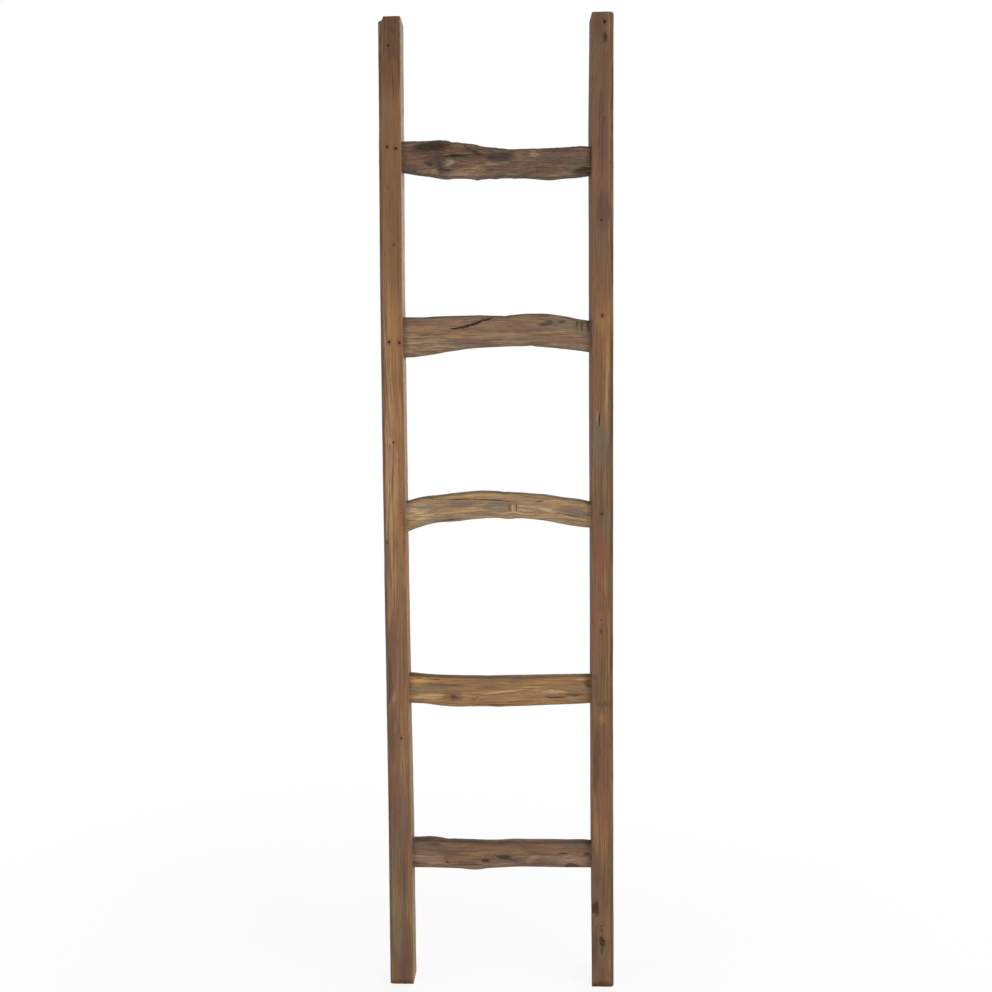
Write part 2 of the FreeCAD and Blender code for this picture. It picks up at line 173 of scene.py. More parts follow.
LEFT_RAIL = Timber(
    "left_rail", level=FLOOR, pith=(-62, 58), ring_width=3.4, rough=0.22, edge_grey=0.3, edge_dark=0.85,
    worn_side=-1, tint=(1.07, 1.09, 1.12),
    marks=(
        # Broad faint dark marks over the upper part, on the front and the inner face, make the rail darker
        # towards its head.
        Mark("dark", 1745, -192, 200, 56, 0.5), Mark("plum", 1775, -187, 22, 12, 0.9),
        Mark("dark", 1790, -186, 22, 20, 0.55), Mark("dark", 1789, -209, 8, 7, 0.7),
        Mark("plum", 1742, -190, 40, 14, 0.6), Mark("warm", 1700, -183, 60, 12, 0.5),
        Mark("warm", 1740, -204, 90, 6, 0.6), Mark("red", 1710, -203, 110, 7, 0.9),
        Mark("dark", 1730, -210, 140, 7, 0.8), Mark("dark", 1700, -211, 220, 5, 0.7),
        Mark("grey", 1630, -195, 70, 20, 0.35), Mark("warm", 1500, -192, 460, 60, 0.3),
        Mark("dark", 1470, -192, 420, 70, 0.22), Mark("grey", 1540, -203, 30, 9, 0.5),
        Mark("dark", 1498, -197.4, 14, 7, 0.6), Mark("red", 1440, -190, 120, 16, 0.35),
        Mark("warm", 1330, -191, 150, 34, 0.3), Mark("warm", 1230, -190, 190, 30, 0.55),
        Mark("warm", 1075, -188, 200, 30, 0.5), Mark("red", 1010, -196, 150, 10, 0.4),
        Mark("warm", 930, -193, 200, 30, 0.5), Mark("pale", 1034, -199, 16, 8, 0.6),
        Mark("red", 905, -176, 60, 7, 0.5), Mark("warm", 800, -183, 170, 22, 0.5),
        Mark("grey", 775, -180, 120, 10, 0.4), Mark("red", 700, -200, 90, 9, 0.5),
        Mark("dark", 738, -211, 110, 5, 0.7), Mark("plum", 645, -200, 110, 22, 0.4),
        Mark("red", 661, -192, 14, 8, 0.9), Mark("grey", 600, -211, 190, 7, 0.55),
        Mark("plum", 583, -206, 90, 14, 0.8), Mark("dark", 583, -208, 80, 9, 0.5),
        Mark("pale", 560, -196, 26, 10, 0.25), Mark("red", 771, -208, 64, 8, 0.9),
        Mark("dark", 771, -211, 56, 5, 0.7), Mark("warm", 1386, -183, 16, 7, 0.7),
        Mark("red", 561, -184, 50, 12, 0.6), Mark("pale", 1200, -203, 420, 22, 0.15),
        Mark("pale", 955, -201, 430, 24, 0.28), Mark("red", 1394, -187, 18, 10, 0.8),
        Mark("dark", 1760, -186, 150, 16, 0.22), Mark("warm", 535, -181, 70, 14, 0.35),
        Mark("pale", 385, -184, 200, 16, 0.25), Mark("pale", 745, -203, 90, 12, 0.15),
        Mark("plum", 487, -203, 130, 15, 0.75), Mark("warm", 452, -178, 110, 12, 0.55),
        Mark("red", 400, -193, 120, 30, 0.5), Mark("plum", 300, -190, 260, 36, 0.55),
        Mark("grey", 245, -196, 90, 24, 0.35), Mark("dark", 190, -183, 90, 6, 0.18),
        Mark("grey", 120, -194, 160, 30, 0.6), Mark("dark", 120, -184, 130, 9, 0.2),
        Mark("warm", 130, -173, 170, 7, 0.1), Mark("plum", 60, -186, 150, 30, 0.75),
        Mark("dark", 4, -190, 10, 60, 0.6), Mark("pale", 900, -180, 2600, 80, 0.08, face="top"),
        Mark("grey", 1560, -180, 300, 40, 0.3, face="top"),
        Mark("warm", 1250, -180, 1400, 80, 0.22, face="top"),
        Mark("grey", 1765, -180, 130, 80, 0.5, face="top"),
        Mark("dark", 1500, -180, 1500, 80, 0.2, face="top"),
        Mark("dark", 1730, -180, 260, 80, 0.42, face="top"),
        Mark("pale", 1000, -180, 500, 40, 0.16, face="top"),
        Mark("pale", 420, -180, 360, 40, 0.4, face="top"),
        Mark("grey", 220, -180, 700, 80, 0.6, face="top"),
        Mark("pale", 80, -180, 360, 80, 0.5, face="top"),
    ),
    knots=(
        Knot(662, -193, 2.0, 1.5, depth_of_tone=0.3),
    ),
    cracks=(
        Crack(((130, -184), (190, -183), (262, -185)), 0.4, 0.8),
    ),
    holes=(
        Hole(1748.6, -194.2, 2.7, stain=0.7), Hole(1394.3, -187.4, 1.5),
        Hole(1034.2, -192.5, 1.6, stain=0.8), Hole(848.6, -207.1, 1.8, stain=0.7),
        Hole(848.3, -173, 1.4, stain=0.5), Hole(478.3, -184.8, 1.8),
    ),
)
RIGHT_RAIL = Timber(
    "right_rail", level=FLOOR, pith=(66, 60), ring_width=3.6, rough=0.22, edge_grey=0.3, edge_dark=0.9,
    worn_side=1, tint=(1.0, 1.03, 1.07),
    marks=(
        # Broad faint dark marks over the upper part make the rail darker towards its head.
        Mark("plum", 1770, 186, 46, 22, 0.3), Mark("grey", 1746, 196, 30, 15, 0.9),
        Mark("dark", 1745, 192, 180, 70, 0.24), Mark("dark", 1756, 196, 16, 10, 0.8),
        Mark("dark", 1746, 191, 8, 4, 0.6), Mark("grey", 1722, 181, 46, 12, 0.4),
        Mark("red", 1730, 198, 46, 14, 0.5), Mark("dark", 1700, 210.3, 280, 6.5, 0.95),
        Mark("warm", 1775, 204, 60, 5, 0.8), Mark("red", 1740, 205, 50, 6, 0.9),
        Mark("dark", 1700, 192, 300, 60, 0.16), Mark("dark", 1440, 192, 160, 50, 0.12),
        Mark("dark", 110, 213, 260, 5, 0.9), Mark("dark", 700, 213, 240, 5, 0.8),
        Mark("plum", 1580, 192, 190, 16, 0.5), Mark("red", 1540, 190, 260, 36, 0.55),
        Mark("warm", 1500, 205, 460, 5, 0.75), Mark("plum", 1455, 192, 70, 22, 0.75),
        Mark("dark", 1470, 213, 360, 4, 0.7), Mark("grey", 1395, 192, 60, 24, 0.4),
        Mark("red", 1330, 190, 130, 34, 0.6), Mark("warm", 1262, 189, 90, 26, 0.6),
        Mark("warm", 1228, 205, 170, 6, 0.6), Mark("pale", 1130, 200, 130, 5, 0.3),
        Mark("warm", 1187, 199, 90, 20, 0.75), Mark("red", 1434, 189.5, 24, 11, 0.9),
        Mark("warm", 1120, 199, 190, 9, 0.5), Mark("red", 1150, 183, 170, 18, 0.45),
        Mark("pale", 1078, 183, 26, 6, 0.45), Mark("grey", 1030, 190, 100, 44, 0.6),
        Mark("plum", 1004, 186, 70, 26, 0.2), Mark("plum", 905, 186, 100, 30, 0.25),
        Mark("grey", 885, 199, 70, 10, 0.5), Mark("red", 815, 188, 110, 26, 0.9),
        Mark("warm", 780, 195, 60, 12, 0.55), Mark("red", 700, 187, 150, 30, 0.6),
        Mark("warm", 640, 205, 200, 5, 0.7), Mark("dark", 640, 210, 30, 3, 0.5),
        Mark("dark", 597, 178, 12, 8, 0.3), Mark("dark", 545, 192, 9, 34, 0.35),
        Mark("warm", 704, 190, 22, 11, 0.8), Mark("dark", 681, 190, 7, 5, 0.6),
        Mark("warm", 520, 191.5, 20, 14, 0.8), Mark("plum", 570, 182, 60, 16, 0.5),
        Mark("dark", 440, 181, 160, 10, 0.4), Mark("red", 400, 192, 220, 30, 0.5),
        Mark("warm", 420, 208, 150, 4, 0.6), Mark("grey", 470, 211.5, 200, 3.5, 0.7),
        Mark("warm", 285, 190, 130, 30, 0.45), Mark("plum", 225, 182, 90, 18, 0.45),
        Mark("dark", 151.5, 178, 27, 20, 1.0), Mark("plum", 160, 178, 40, 26, 0.5),
        Mark("plum", 110, 190, 260, 70, 0.18), Mark("warm", 120, 200, 60, 14, 0.4),
        Mark("warm", 52, 206.5, 64, 5, 0.8), Mark("dark", 119, 194, 4, 9, 0.5),
        Mark("dark", 111, 191, 4, 7, 0.4), Mark("dark", 89, 193, 18, 10, 0.95),
        Mark("grey", 72, 191, 40, 12, 0.95), Mark("dark", 76, 192, 26, 6, 0.5),
        Mark("plum", 80, 179, 80, 15, 0.85), Mark("red", 40, 190, 90, 30, 0.4),
        # The faint dark mark on face bottom, the rail's whole inner face, is painted shade on the side turned
        # away from the key lamp.
        Mark("dark", 5, 193, 12, 60, 0.6), Mark("dark", 900, 180, 2600, 80, 0.27, face="bottom"),
    ),
    knots=(
        Knot(151.5, 180.5, 6.0, 1.5, -0.3, 0.15), Knot(125.4, 192.8, 3.0, 1.3, depth_of_tone=0.4),
        Knot(89.5, 193.8, 3.2, 1.2, depth_of_tone=0.3),
        Knot(1434, 190.5, 2.8, 1.6, depth_of_tone=0.6),
    ),
    cracks=(
        Crack(((1062, 186), (1075, 186.4), (1086, 185.6)), 1.5, 2.6),
        Crack(((1020, 208), (1110, 209)), 0.6, 1.5), Crack(((70, 192.4), (88, 193.6)), 0.6, 1.2),
    ),
    holes=(
        Hole(1782.5, 194.9, 3.0, stain=0.7), Hole(1756, 197, 1.7, 2.0),
        Hole(1614, 195.3, 1.4, stain=0.4), Hole(1433.9, 189.6, 1.7, stain=0.6),
        Hole(1262.6, 191.7, 1.8, stain=0.7), Hole(703.8, 189.6, 1.3), Hole(90, 194, 2.4, stain=0.9),
    ),
)
TOP_RUNG = Timber(
    "top_rung", level=1550, pith=(-18, 16), ring_width=2.8, rough=1.0, edge_grey=0.5, edge_dark=0.9,
    tint=(1.17, 1.18, 1.17),
    marks=(
        Mark("dark", -118, 22, 80, 19, 0.95, 2), Mark("red", -66, 14, 34, 14, 0.7),
        Mark("pale", -87, -9, 16, 14, 1.0, 20), Mark("pale", -87, -9, 10, 9, 1.0),
        Mark("plum", -103, -9, 30, 30, 0.95), Mark("grey", -57, 0, 52, 6, 0.95, 4),
        Mark("dark", -57, 3, 50, 3, 0.7, 4), Mark("dark", -122, -11, 15, 8, 0.9, -20),
        Mark("plum", 6, 2, 60, 17, 0.95), Mark("dark", 6, 1, 44, 11, 0.3),
        Mark("pale", -9, -11, 34, 6, 0.6), Mark("pale", 20, -11, 18, 5, 0.65),
        Mark("warm", 42, 5, 22, 10, 0.6), Mark("warm", 71, 4, 17, 15, 0.9),
        Mark("pale", 71, 3, 12, 10, 0.35), Mark("red", 40, 8, 40, 8, 0.6),
        Mark("pale", 100, -10, 130, 26, 0.2), Mark("red", 117, 6, 66, 12, 0.5),
        Mark("dark", 112, 9, 60, 2.5, 0.5), Mark("warm", -50, -22, 54, 15, 0.75, 4),
        Mark("pale", -38, -23, 30, 10, 0.35), Mark("warm", -113, -27, 14, 10, 0.9),
        Mark("dark", 160, -28, 36, 14, 0.9), Mark("red", 101, -16, 70, 22, 0.5),
        Mark("grey", 148, -14, 50, 14, 0.45), Mark("red", -150, 6, 40, 20, 0.5),
        Mark("plum", -150, -20, 44, 9, 0.6), Mark("dark", -160, -22, 24, 3, 0.6),
        Mark("plum", -66, -15, 56, 8, 0.6), Mark("grey", 90, -33, 130, 4, 0.5),
        Mark("plum", 110, -8, 110, 20, 0.45), Mark("red", 163, 12, 24, 10, 0.6),
        # The dark stripe at 171 along is painted shade that the right rail casts on the rung's end.
        Mark("dark", 171, 0, 4, 44, 0.6), Mark("red", -20, 13, 34, 9, 0.45),
        Mark("warm", 3, 16, 30, 4, 0.5),
    ),
    knots=(
        Knot(-87, -8, 8.5, 1.2, 0.5, 0.1), Knot(-122, -11, 3.6, 1.5, -0.5, 0.6),
        Knot(-33, 5, 2.6, 2.4, 0.4, 0.5),
    ),
    cracks=(
        Crack(((-100, 3), (-76, 4), (-54, 2)), 1.2, 1.8, 0.8),
        Crack(((-106, -20), (-84, -22)), 1.0, 1.4, 0.8),
        Crack(((78, -11), (120, -14), (165, -13)), 0.6, 1.0),
        Crack(((100, 9), (150, 11)), 0.5, 0.9),
    ),
    dents=(
        # The hollows above and beside the big knot are its shaded bands, darkened with painted shade.
        Dent(-78, 3.5, 56, 8, 2.4, 3), Dent(-42, 12, 42, 8, 2.6, -32),
        Dent(-36, 2.5, 22, 5, -1.4, -25), Dent(-50, 7, 22, 4, -1.0, -30),
        Dent(-104, -13, 12, 24, 2.0, 24), Dent(-122, -11, 16, 8, 2.0, -20),
        Dent(-84, -21, 40, 7, 1.7, 4), Dent(158, -27, 40, 10, 1.6, -8),
        Dent(-66, -13, 22, 6, -1.2, 30), Dent(4, 9, 60, 5, 1.0, -2), Dent(30, -8, 90, 5, 0.8, -2),
        Dent(-140, 8, 40, 6, 1.2, 8),
    ),
    bumps=(
        Bump(-98, 26, 1.3), Bump(-80, 9, -1.3), Bump(-35, 14, -2.2, "bottom"),
        Bump(-92, 22, -1.2, "bottom"), Bump(96, 40, -1.6, "bottom"), Bump(-150, 90, 2.4),
        Bump(-10, 130, 2.0), Bump(60, 50, 1.0), Bump(155, 40, 2.6), Bump(0, 600, -2.0, "bottom"),
        Bump(-12, 74, -2.4, "bottom"),
    ),
)
UPPER_RUNG = Timber(
    "upper_rung", level=1228, pith=(30, 40), ring_width=3.2, rough=0.45, edge_grey=0.5, edge_dark=0.95,
    tint=(1.03, 1.05, 1.1),
    marks=(
        Mark("red", -128, 24, 84, 15, 0.6), Mark("warm", -128, 13, 40, 12, 0.5),
        Mark("warm", -65, 3, 66, 11, 0.35), Mark("red", -66, -5, 20, 6, 0.7),
        Mark("pale", -157, -13, 20, 28, 0.45), Mark("pale", -137, -13, 60, 15, 0.45),
        Mark("grey", -81, -7, 26, 9, 0.5), Mark("plum", -62, -14, 60, 9, 0.6),
        Mark("dark", -79, -8, 20, 1.6, 0.45), Mark("plum", 85, 21, 26, 9, 0.5),
        Mark("grey", 110, 21, 56, 14, 0.65), Mark("pale", 107, 20, 12, 7, 0.35),
        Mark("dark", 92, 22, 24, 8, 0.6), Mark("dark", 118, 24, 14, 6, 0.6),
        Mark("dark", 90, 37, 44, 5, 0.75), Mark("grey", 160, 14, 40, 30, 0.5),
        Mark("red", 133, -12, 72, 16, 0.5), Mark("plum", -10, -17, 110, 9, 0.45),
        Mark("red", 10, -6, 60, 5, 0.5), Mark("pale", -30, -2, 50, 2, 0.5),
        Mark("pale", 40, 2, 60, 8, 0.25), Mark("plum", 60, 12, 70, 14, 0.3),
        Mark("pale", -80, -2, 24, 4, 0.5), Mark("pale", -70, -21, 80, 3, 0.7, 6),
        Mark("dark", -140, -4, 40, 1.6, 0.5), Mark("dark", -128, -12, 46, 1.6, 0.5),
        Mark("pale", -135, -8, 46, 2, 0.6), Mark("red", 20, 24, 70, 10, 0.35),
        # The dark stripes from 146 to 166 along are painted shade near the right rail.
        Mark("grey", 60, -6, 60, 12, 0.35), Mark("dark", 146, 18, 4, 14, 0.85),
        Mark("dark", 155, 16, 4, 18, 0.85), Mark("dark", 160, 20, 40, 12, 0.3),
        Mark("dark", 166, 18, 6, 22, 0.9), Mark("dark", 124, 32, 50, 4, 0.7, -14),
    ),
    knots=(
        Knot(106, 20, 3.6, 1.8, 0.2, 0.35), Knot(37, 10, 1.4, 1.6),
    ),
    cracks=(
        Crack(((-86, 15), (-66, 16), (-50, 20), (-34, 26), (-8, 34)), 3.0, 3.6, 0.65),
        Crack(((-150, 2), (-118, 4)), 0.5, 0.8), Crack(((-40, -8), (10, -6)), 0.4, 0.7),
        Crack(((100, 4), (140, 0)), 0.5, 0.8),
    ),
    dents=(
        Dent(-60, 13, 40, 5, 1.0, 6), Dent(84, 30, 50, 6, 1.2, -4), Dent(107, 20, 16, 8, 0.8),
        Dent(-140, -6, 60, 4, 0.6, -3), Dent(150, 14, 6, 30, 0.5), Dent(163, 12, 6, 34, 0.5),
    ),
    bumps=(
        Bump(52, 60, 1.0), Bump(14, 12, -0.9), Bump(150, 40, -1.4), Bump(62, 12, 1.2, "bottom"),
        Bump(0, 700, 0.7), Bump(-165, 50, 1.9), Bump(-30, 50, 1.3), Bump(88, 30, 0.5),
        Bump(60, 700, -2.9, "bottom"),
    ),
)
MIDDLE_RUNG = Timber(
    "middle_rung", level=898, pith=(-20, 34), ring_width=3.0, rough=0.5, edge_grey=0.5, edge_dark=0.85,
    tint=(1.2, 1.25, 1.28),
    marks=(
        Mark("grey", -131, 15, 32, 12, 0.7, 10), Mark("plum", -66, 22, 70, 13, 0.65, 6),
        Mark("dark", -68, 30, 56, 2.4, 0.85, 2), Mark("dark", -8, 28, 60, 2.4, 0.8, -3),
        Mark("warm", -53, 37, 38, 10, 0.95), Mark("warm", -19, 36, 40, 16, 0.7),
        Mark("red", -19, 33, 36, 6, 0.5), Mark("plum", -8, 15, 56, 15, 0.7),
        Mark("grey", -4, 13, 50, 13, 0.5), Mark("pale", -2, 14, 44, 4, 0.8),
        Mark("pale", 53, 13, 46, 26, 0.25), Mark("dark", 20.4, 15, 2.4, 15, 0.8),
        Mark("pale", 26, 15, 5, 12, 0.8), Mark("dark", 24, 15, 2, 13, 0.7),
        Mark("dark", 34, 15, 2.6, 14, 0.9), Mark("warm", 30, 15, 5, 13, 0.8),
        Mark("dark", 77, 25, 13, 3, 0.8), Mark("plum", 136, 6, 52, 14, 0.75, -12),
        Mark("dark", 140, -2, 46, 2, 0.45, -12), Mark("dark", 128, -9, 40, 2, 0.5, -10),
        Mark("dark", 150, -12, 34, 2, 0.5, -10), Mark("plum", -123, -9, 80, 10, 0.6, 13),
        Mark("dark", -97, -8, 46, 4, 0.6, 9), Mark("warm", -149, 0, 40, 12, 0.6, 10),
        Mark("pale", -130, 2, 40, 4, 0.5, 10), Mark("pale", 100, 8, 50, 8, 0.35, -8),
        Mark("pale", -152, 4, 54, 34, 0.35, 12), Mark("pale", -30, 8, 90, 10, 0.25),
        Mark("warm", -160, -14, 24, 9, 0.6), Mark("pale", 17, -3, 74, 3, 0.7),
        Mark("warm", -75, 8, 60, 8, 0.5, 8), Mark("dark", 64, 34, 60, 2, 0.6, -8),
        Mark("warm", 110, 22, 60, 12, 0.4, -12), Mark("grey", 110, 34, 100, 5, 0.5, -12),
    ),
    knots=(
        Knot(27, 14, 8.0, 1.0, 0.3, 0.3),
    ),
    cracks=(
        Crack(((-94, 29), (-60, 30.5), (-42, 30)), 0.7, 1.1),
        Crack(((-38, 29), (-6, 28), (22, 25)), 0.6, 1.0), Crack(((-116, -12), (-84, -6)), 0.8, 1.1),
        Crack(((108, 5), (150, -6)), 0.5, 0.8),
    ),
    dents=(
        Dent(27, 14, 20, 17, -0.7), Dent(-50, 29, 70, 5, 0.9, 3), Dent(-95, -9, 50, 5, 0.9, 9),
        Dent(136, -8, 60, 5, 0.7, -11), Dent(-20, 8, 60, 5, 0.6),
    ),
    bumps=(
        Bump(10, 12, -0.8), Bump(20, 26, -1.4, "bottom"), Bump(-143, 46, 2.3), Bump(-25, 70, 1.4),
        Bump(85, 50, 1.0), Bump(148, 40, 1.6), Bump(0, 900, -1.9, "bottom"),
        Bump(-178, 70, -5.4, "bottom"), Bump(-80, 40, -1.4, "bottom"), Bump(14, 36, -1.2, "bottom"),
        Bump(130, 60, -0.8, "bottom"),
    ),
)
LOWER_RUNG = Timber(
    "lower_rung", level=570, pith=(10, 30), ring_width=3.1, rough=0.4, edge_grey=0.45, edge_dark=0.8,
    tint=(1.15, 1.12, 1.05),
    marks=(
        Mark("warm", -151, 19, 40, 11, 1.0), Mark("warm", -105, 22, 80, 8, 1.0, -3),
        Mark("warm", -150, 16, 46, 6, 0.9), Mark("pale", -152, 17, 40, 6, 0.35),
        Mark("dark", -152, 21, 16, 2, 0.9), Mark("dark", -120, 19, 16, 2.4, 0.9),
        Mark("grey", -121, 3, 100, 16, 0.65), Mark("grey", -161, -4, 22, 10, 0.9),
        Mark("pale", -138, -13, 70, 20, 0.55), Mark("plum", -88, 7, 60, 6, 0.7),
        Mark("pale", -140, -18, 50, 6, 0.5, -6), Mark("pale", 3, -5, 84, 3, 0.95, 7),
        Mark("pale", 60, 6, 44, 3, 0.7, 3), Mark("grey", -22, 16, 70, 13, 0.5),
        Mark("plum", 30, 17, 80, 9, 0.5), Mark("pale", 97, -3, 62, 6, 0.95),
        Mark("dark", 104, -14, 36, 5, 0.6), Mark("dark", 134, -9, 34, 7, 0.5),
        Mark("dark", -86, -16, 15, 11, 1.0), Mark("plum", -84, -14, 32, 20, 0.7),
        Mark("red", -120, -8, 60, 8, 0.5), Mark("grey", 148, 4, 50, 26, 0.6),
        Mark("pale", 150, 19, 18, 4, 0.7), Mark("dark", 166, 12, 14, 16, 0.8),
        Mark("dark", -2, -29, 28, 2, 0.8), Mark("warm", -41, -20, 8, 4, 0.9),
        Mark("plum", -10, 15, 60, 8, 0.4), Mark("warm", 40, 14, 100, 12, 0.35),
    ),
    knots=(
        Knot(-87, -16, 5.6, 1.3, -0.2, 0.6), Knot(-49, -18, 2.2, 1.1), Knot(-41, -15, 1.8, 1.1),
    ),
    cracks=(
        Crack(((118, -12), (158, -9)), 0.6, 0.9), Crack(((84, -14), (116, -15)), 0.6, 0.9),
        Crack(((-150, 8), (-112, 9), (-70, 7)), 0.5, 0.8),
    ),
    dents=(
        Dent(-86, -16, 12, 10, 1.4), Dent(105, -14, 46, 6, 0.9, -2), Dent(140, -9, 44, 6, 0.8, 4),
        Dent(-110, 8, 90, 5, 0.8), Dent(40, 0, 100, 4, -0.5, 5),
    ),
    bumps=(
        Bump(-12, 60, -0.6), Bump(-80, 40, -1.2, "bottom"), Bump(-1, 24, -1.0, "bottom"),
        Bump(-40, 420, 1.5), Bump(-165, 40, 1.0), Bump(-140, 44, 2.0, "bottom"),
        Bump(15, 120, -1.3, "bottom"),
    ),
)
BOTTOM_RUNG = Timber(
    "bottom_rung", level=250, pith=(-12, 28), ring_width=3.0, rough=0.5, edge_grey=0.5, edge_dark=0.8,
    tint=(0.96, 0.95, 1.0),
    marks=(
        Mark("grey", -133, 18, 66, 20, 0.65), Mark("dark", -126, 21, 36, 8, 0.6),
        Mark("plum", -105, 2, 38, 18, 0.5), Mark("red", -100, -2, 40, 16, 0.5),
        Mark("warm", -55, 8, 50, 30, 0.45), Mark("warm", 36, 7, 38, 10, 0.6),
        Mark("red", 51, 21, 60, 13, 0.6), Mark("grey", 150, 22, 44, 15, 0.95),
        Mark("dark", 150, 26, 50, 5, 0.6), Mark("pale", 131, -7, 84, 14, 0.65),
        Mark("pale", -138, -10, 56, 14, 0.5), Mark("red", -60, 16, 60, 5, 0.5, 10),
        Mark("pale", -96, -17, 44, 3, 0.7), Mark("dark", -70, -19, 80, 2, 0.4),
        Mark("dark", -102, -13, 8, 5, 0.5), Mark("dark", -26, -11, 15, 13, 0.95),
        Mark("dark", 8, -3, 30, 8, 0.9, -10), Mark("grey", 14, -7, 40, 14, 0.7),
        Mark("dark", 137, -19, 28, 11, 0.95), Mark("dark", 162, 6, 12, 6, 0.8),
        Mark("plum", 60, -12, 130, 10, 0.22), Mark("pale", -138, -4, 60, 20, 0.3),
        Mark("pale", -10, -17, 60, 5, 0.3), Mark("pale", 60, -6, 30, 8, 0.5, 20),
        Mark("dark", 118, 5, 16, 3, 0.7),
    ),
    knots=(
        Knot(-27, -11, 4.4, 1.1, depth_of_tone=0.5), Knot(9, -2, 4.6, 1.9, depth_of_tone=0.2),
        Knot(147, 8, 1.3, 1.6), Knot(162, 6, 2.2, 1.2), Knot(132, -16, 3.0, 2.0),
    ),
    cracks=(
        Crack(((-100, -17), (-66, -20), (-36, -18)), 0.5, 0.8),
        Crack(((112, 5.5), (128, 5)), 0.8, 1.0), Crack(((2, 1), (24, -2)), 0.7, 1.0),
    ),
    dents=(
        Dent(-26, -11, 12, 11, 1.5), Dent(9, -3, 26, 8, 1.4, -10), Dent(137, -18, 22, 9, 1.3),
        Dent(162, 6, 14, 7, 1.0), Dent(-126, 20, 50, 9, 1.0, -4), Dent(-70, -18, 70, 5, 0.7),
    ),
    bumps=(
        Bump(-130, 36, 2.2), Bump(-100, 20, -0.8), Bump(28, 40, 1.6), Bump(124, 60, -1.7),
        Bump(-48, 44, -3.6, "bottom"), Bump(-6, 56, -1.5, "bottom"), Bump(-128, 70, 2.2, "bottom"),
    ),
)
RAILS = (LEFT_RAIL, RIGHT_RAIL)
RUNGS = (BOTTOM_RUNG, LOWER_RUNG, MIDDLE_RUNG, UPPER_RUNG, TOP_RUNG)

# Tones that marks can have, in the order in which two attributes carry them to the materials.
# Beside dirt and stains, the dark tone also carries painted shade: in dents, at the rungs' right ends and
# over the right rail's inner face.
TONES = ("warm", "red", "pale", "plum", "grey", "dark")


# ---- settings ------------------------------------------------------------------------------------
def colour_setting(name, description, red, green, blue):
    """A colour as it is picked on a screen, from 0 to 255."""
    return bpy.props.FloatVectorProperty(
        name=name, description=description, subtype="COLOR_GAMMA", size=3, min=0, max=1,
        default=(red / 255, green / 255, blue / 255))


def length_setting(name, description, default):
    """A length that the sidebar shows in the scene's unit, kept in metres."""
    return bpy.props.FloatProperty(name=name, description=description, default=default, min=0,
                                   subtype="DISTANCE", unit="LENGTH")


class LADDER_PG_rails(bpy.types.PropertyGroup):
    heart: colour_setting("Heart", "Darker of the rails' two ground tones", 112, 82, 56)
    sap: colour_setting("Sap", "Paler of the rails' two ground tones", 142, 108, 76)
    warm: colour_setting("Warm", "Orange-brown streaks", 164, 116, 70)
    red: colour_setting("Red", "Red-brown streaks", 136, 90, 66)
    pale: colour_setting("Pale", "Freshly rubbed streaks", 182, 150, 114)
    plum: colour_setting("Plum", "Purple-brown stains", 98, 72, 64)
    grey: colour_setting("Grey", "Weathered skin", 121, 106, 80)
    # Beside dirt and stains, the dark colour is laid as painted shade over the right rail's inner face.
    dark: colour_setting("Dark", "Old dirt and water stains", 61, 43, 29)
    twist: length_setting("Twist", "How far the right rail's back leans in at its head", 0.004)
    planing: length_setting("Planing", "Height of the waves that a hand plane left", 0.0003)


class LADDER_PG_rungs(bpy.types.PropertyGroup):
    heart: colour_setting("Heart", "Darker of the sawn rungs' two ground tones", 122, 94, 68)
    sap: colour_setting("Sap", "Paler of the sawn rungs' two ground tones", 158, 128, 94)
    warm: colour_setting("Warm", "Honey-coloured streaks", 164, 126, 78)
    red: colour_setting("Red", "Red-brown streaks", 136, 100, 80)
    pale: colour_setting("Pale", "Pale streaks", 184, 156, 122)
    plum: colour_setting("Plum", "Purple-brown stains", 106, 86, 76)
    grey: colour_setting("Grey", "Weathered skin", 118, 106, 88)
    # Beside dirt, the dark colour is laid as painted shade in dents and at the rungs' right ends.
    dark: colour_setting("Dark", "Old dirt and cracks", 58, 44, 34)


class LADDER_PG_rough_rung(bpy.types.PropertyGroup):
    heart: colour_setting("Heart", "Darker of the rough rung's two ground tones", 92, 72, 60)
    sap: colour_setting("Sap", "Paler of the rough rung's two ground tones", 124, 100, 82)
    warm: colour_setting("Warm", "Tan patches where the skin has worn off", 144, 114, 78)
    red: colour_setting("Red", "Red-brown patches", 114, 82, 66)
    pale: colour_setting("Pale", "Pale streaks and the sound wood of the knot", 150, 132, 112)
    plum: colour_setting("Plum", "Purple-brown stains", 80, 66, 64)
    grey: colour_setting("Grey", "Grey-green weathered skin", 88, 82, 64)
    # Beside dirt, the dark colour is laid as painted shade in dents, round the big knot and at the rung's
    # right end.
    dark: colour_setting("Dark", "Old dirt and cracks", 46, 40, 32)


class LADDER_PG_nails(bpy.types.PropertyGroup):
    iron: colour_setting("Iron", "Dull iron of the heads", 54, 36, 24)
    rust: colour_setting("Rust", "Rust on the heads", 92, 50, 26)
    head_radius: length_setting("Head radius", "Radius of a nail's head", 0.0025)
    head_thickness: length_setting("Head thickness", "Thickness of a nail's head", 0.0010)
    shank_width: length_setting("Shank width", "Width of a nail's square shank", 0.0028)
    length: length_setting("Length", "Length of a nail from head to point", 0.042)


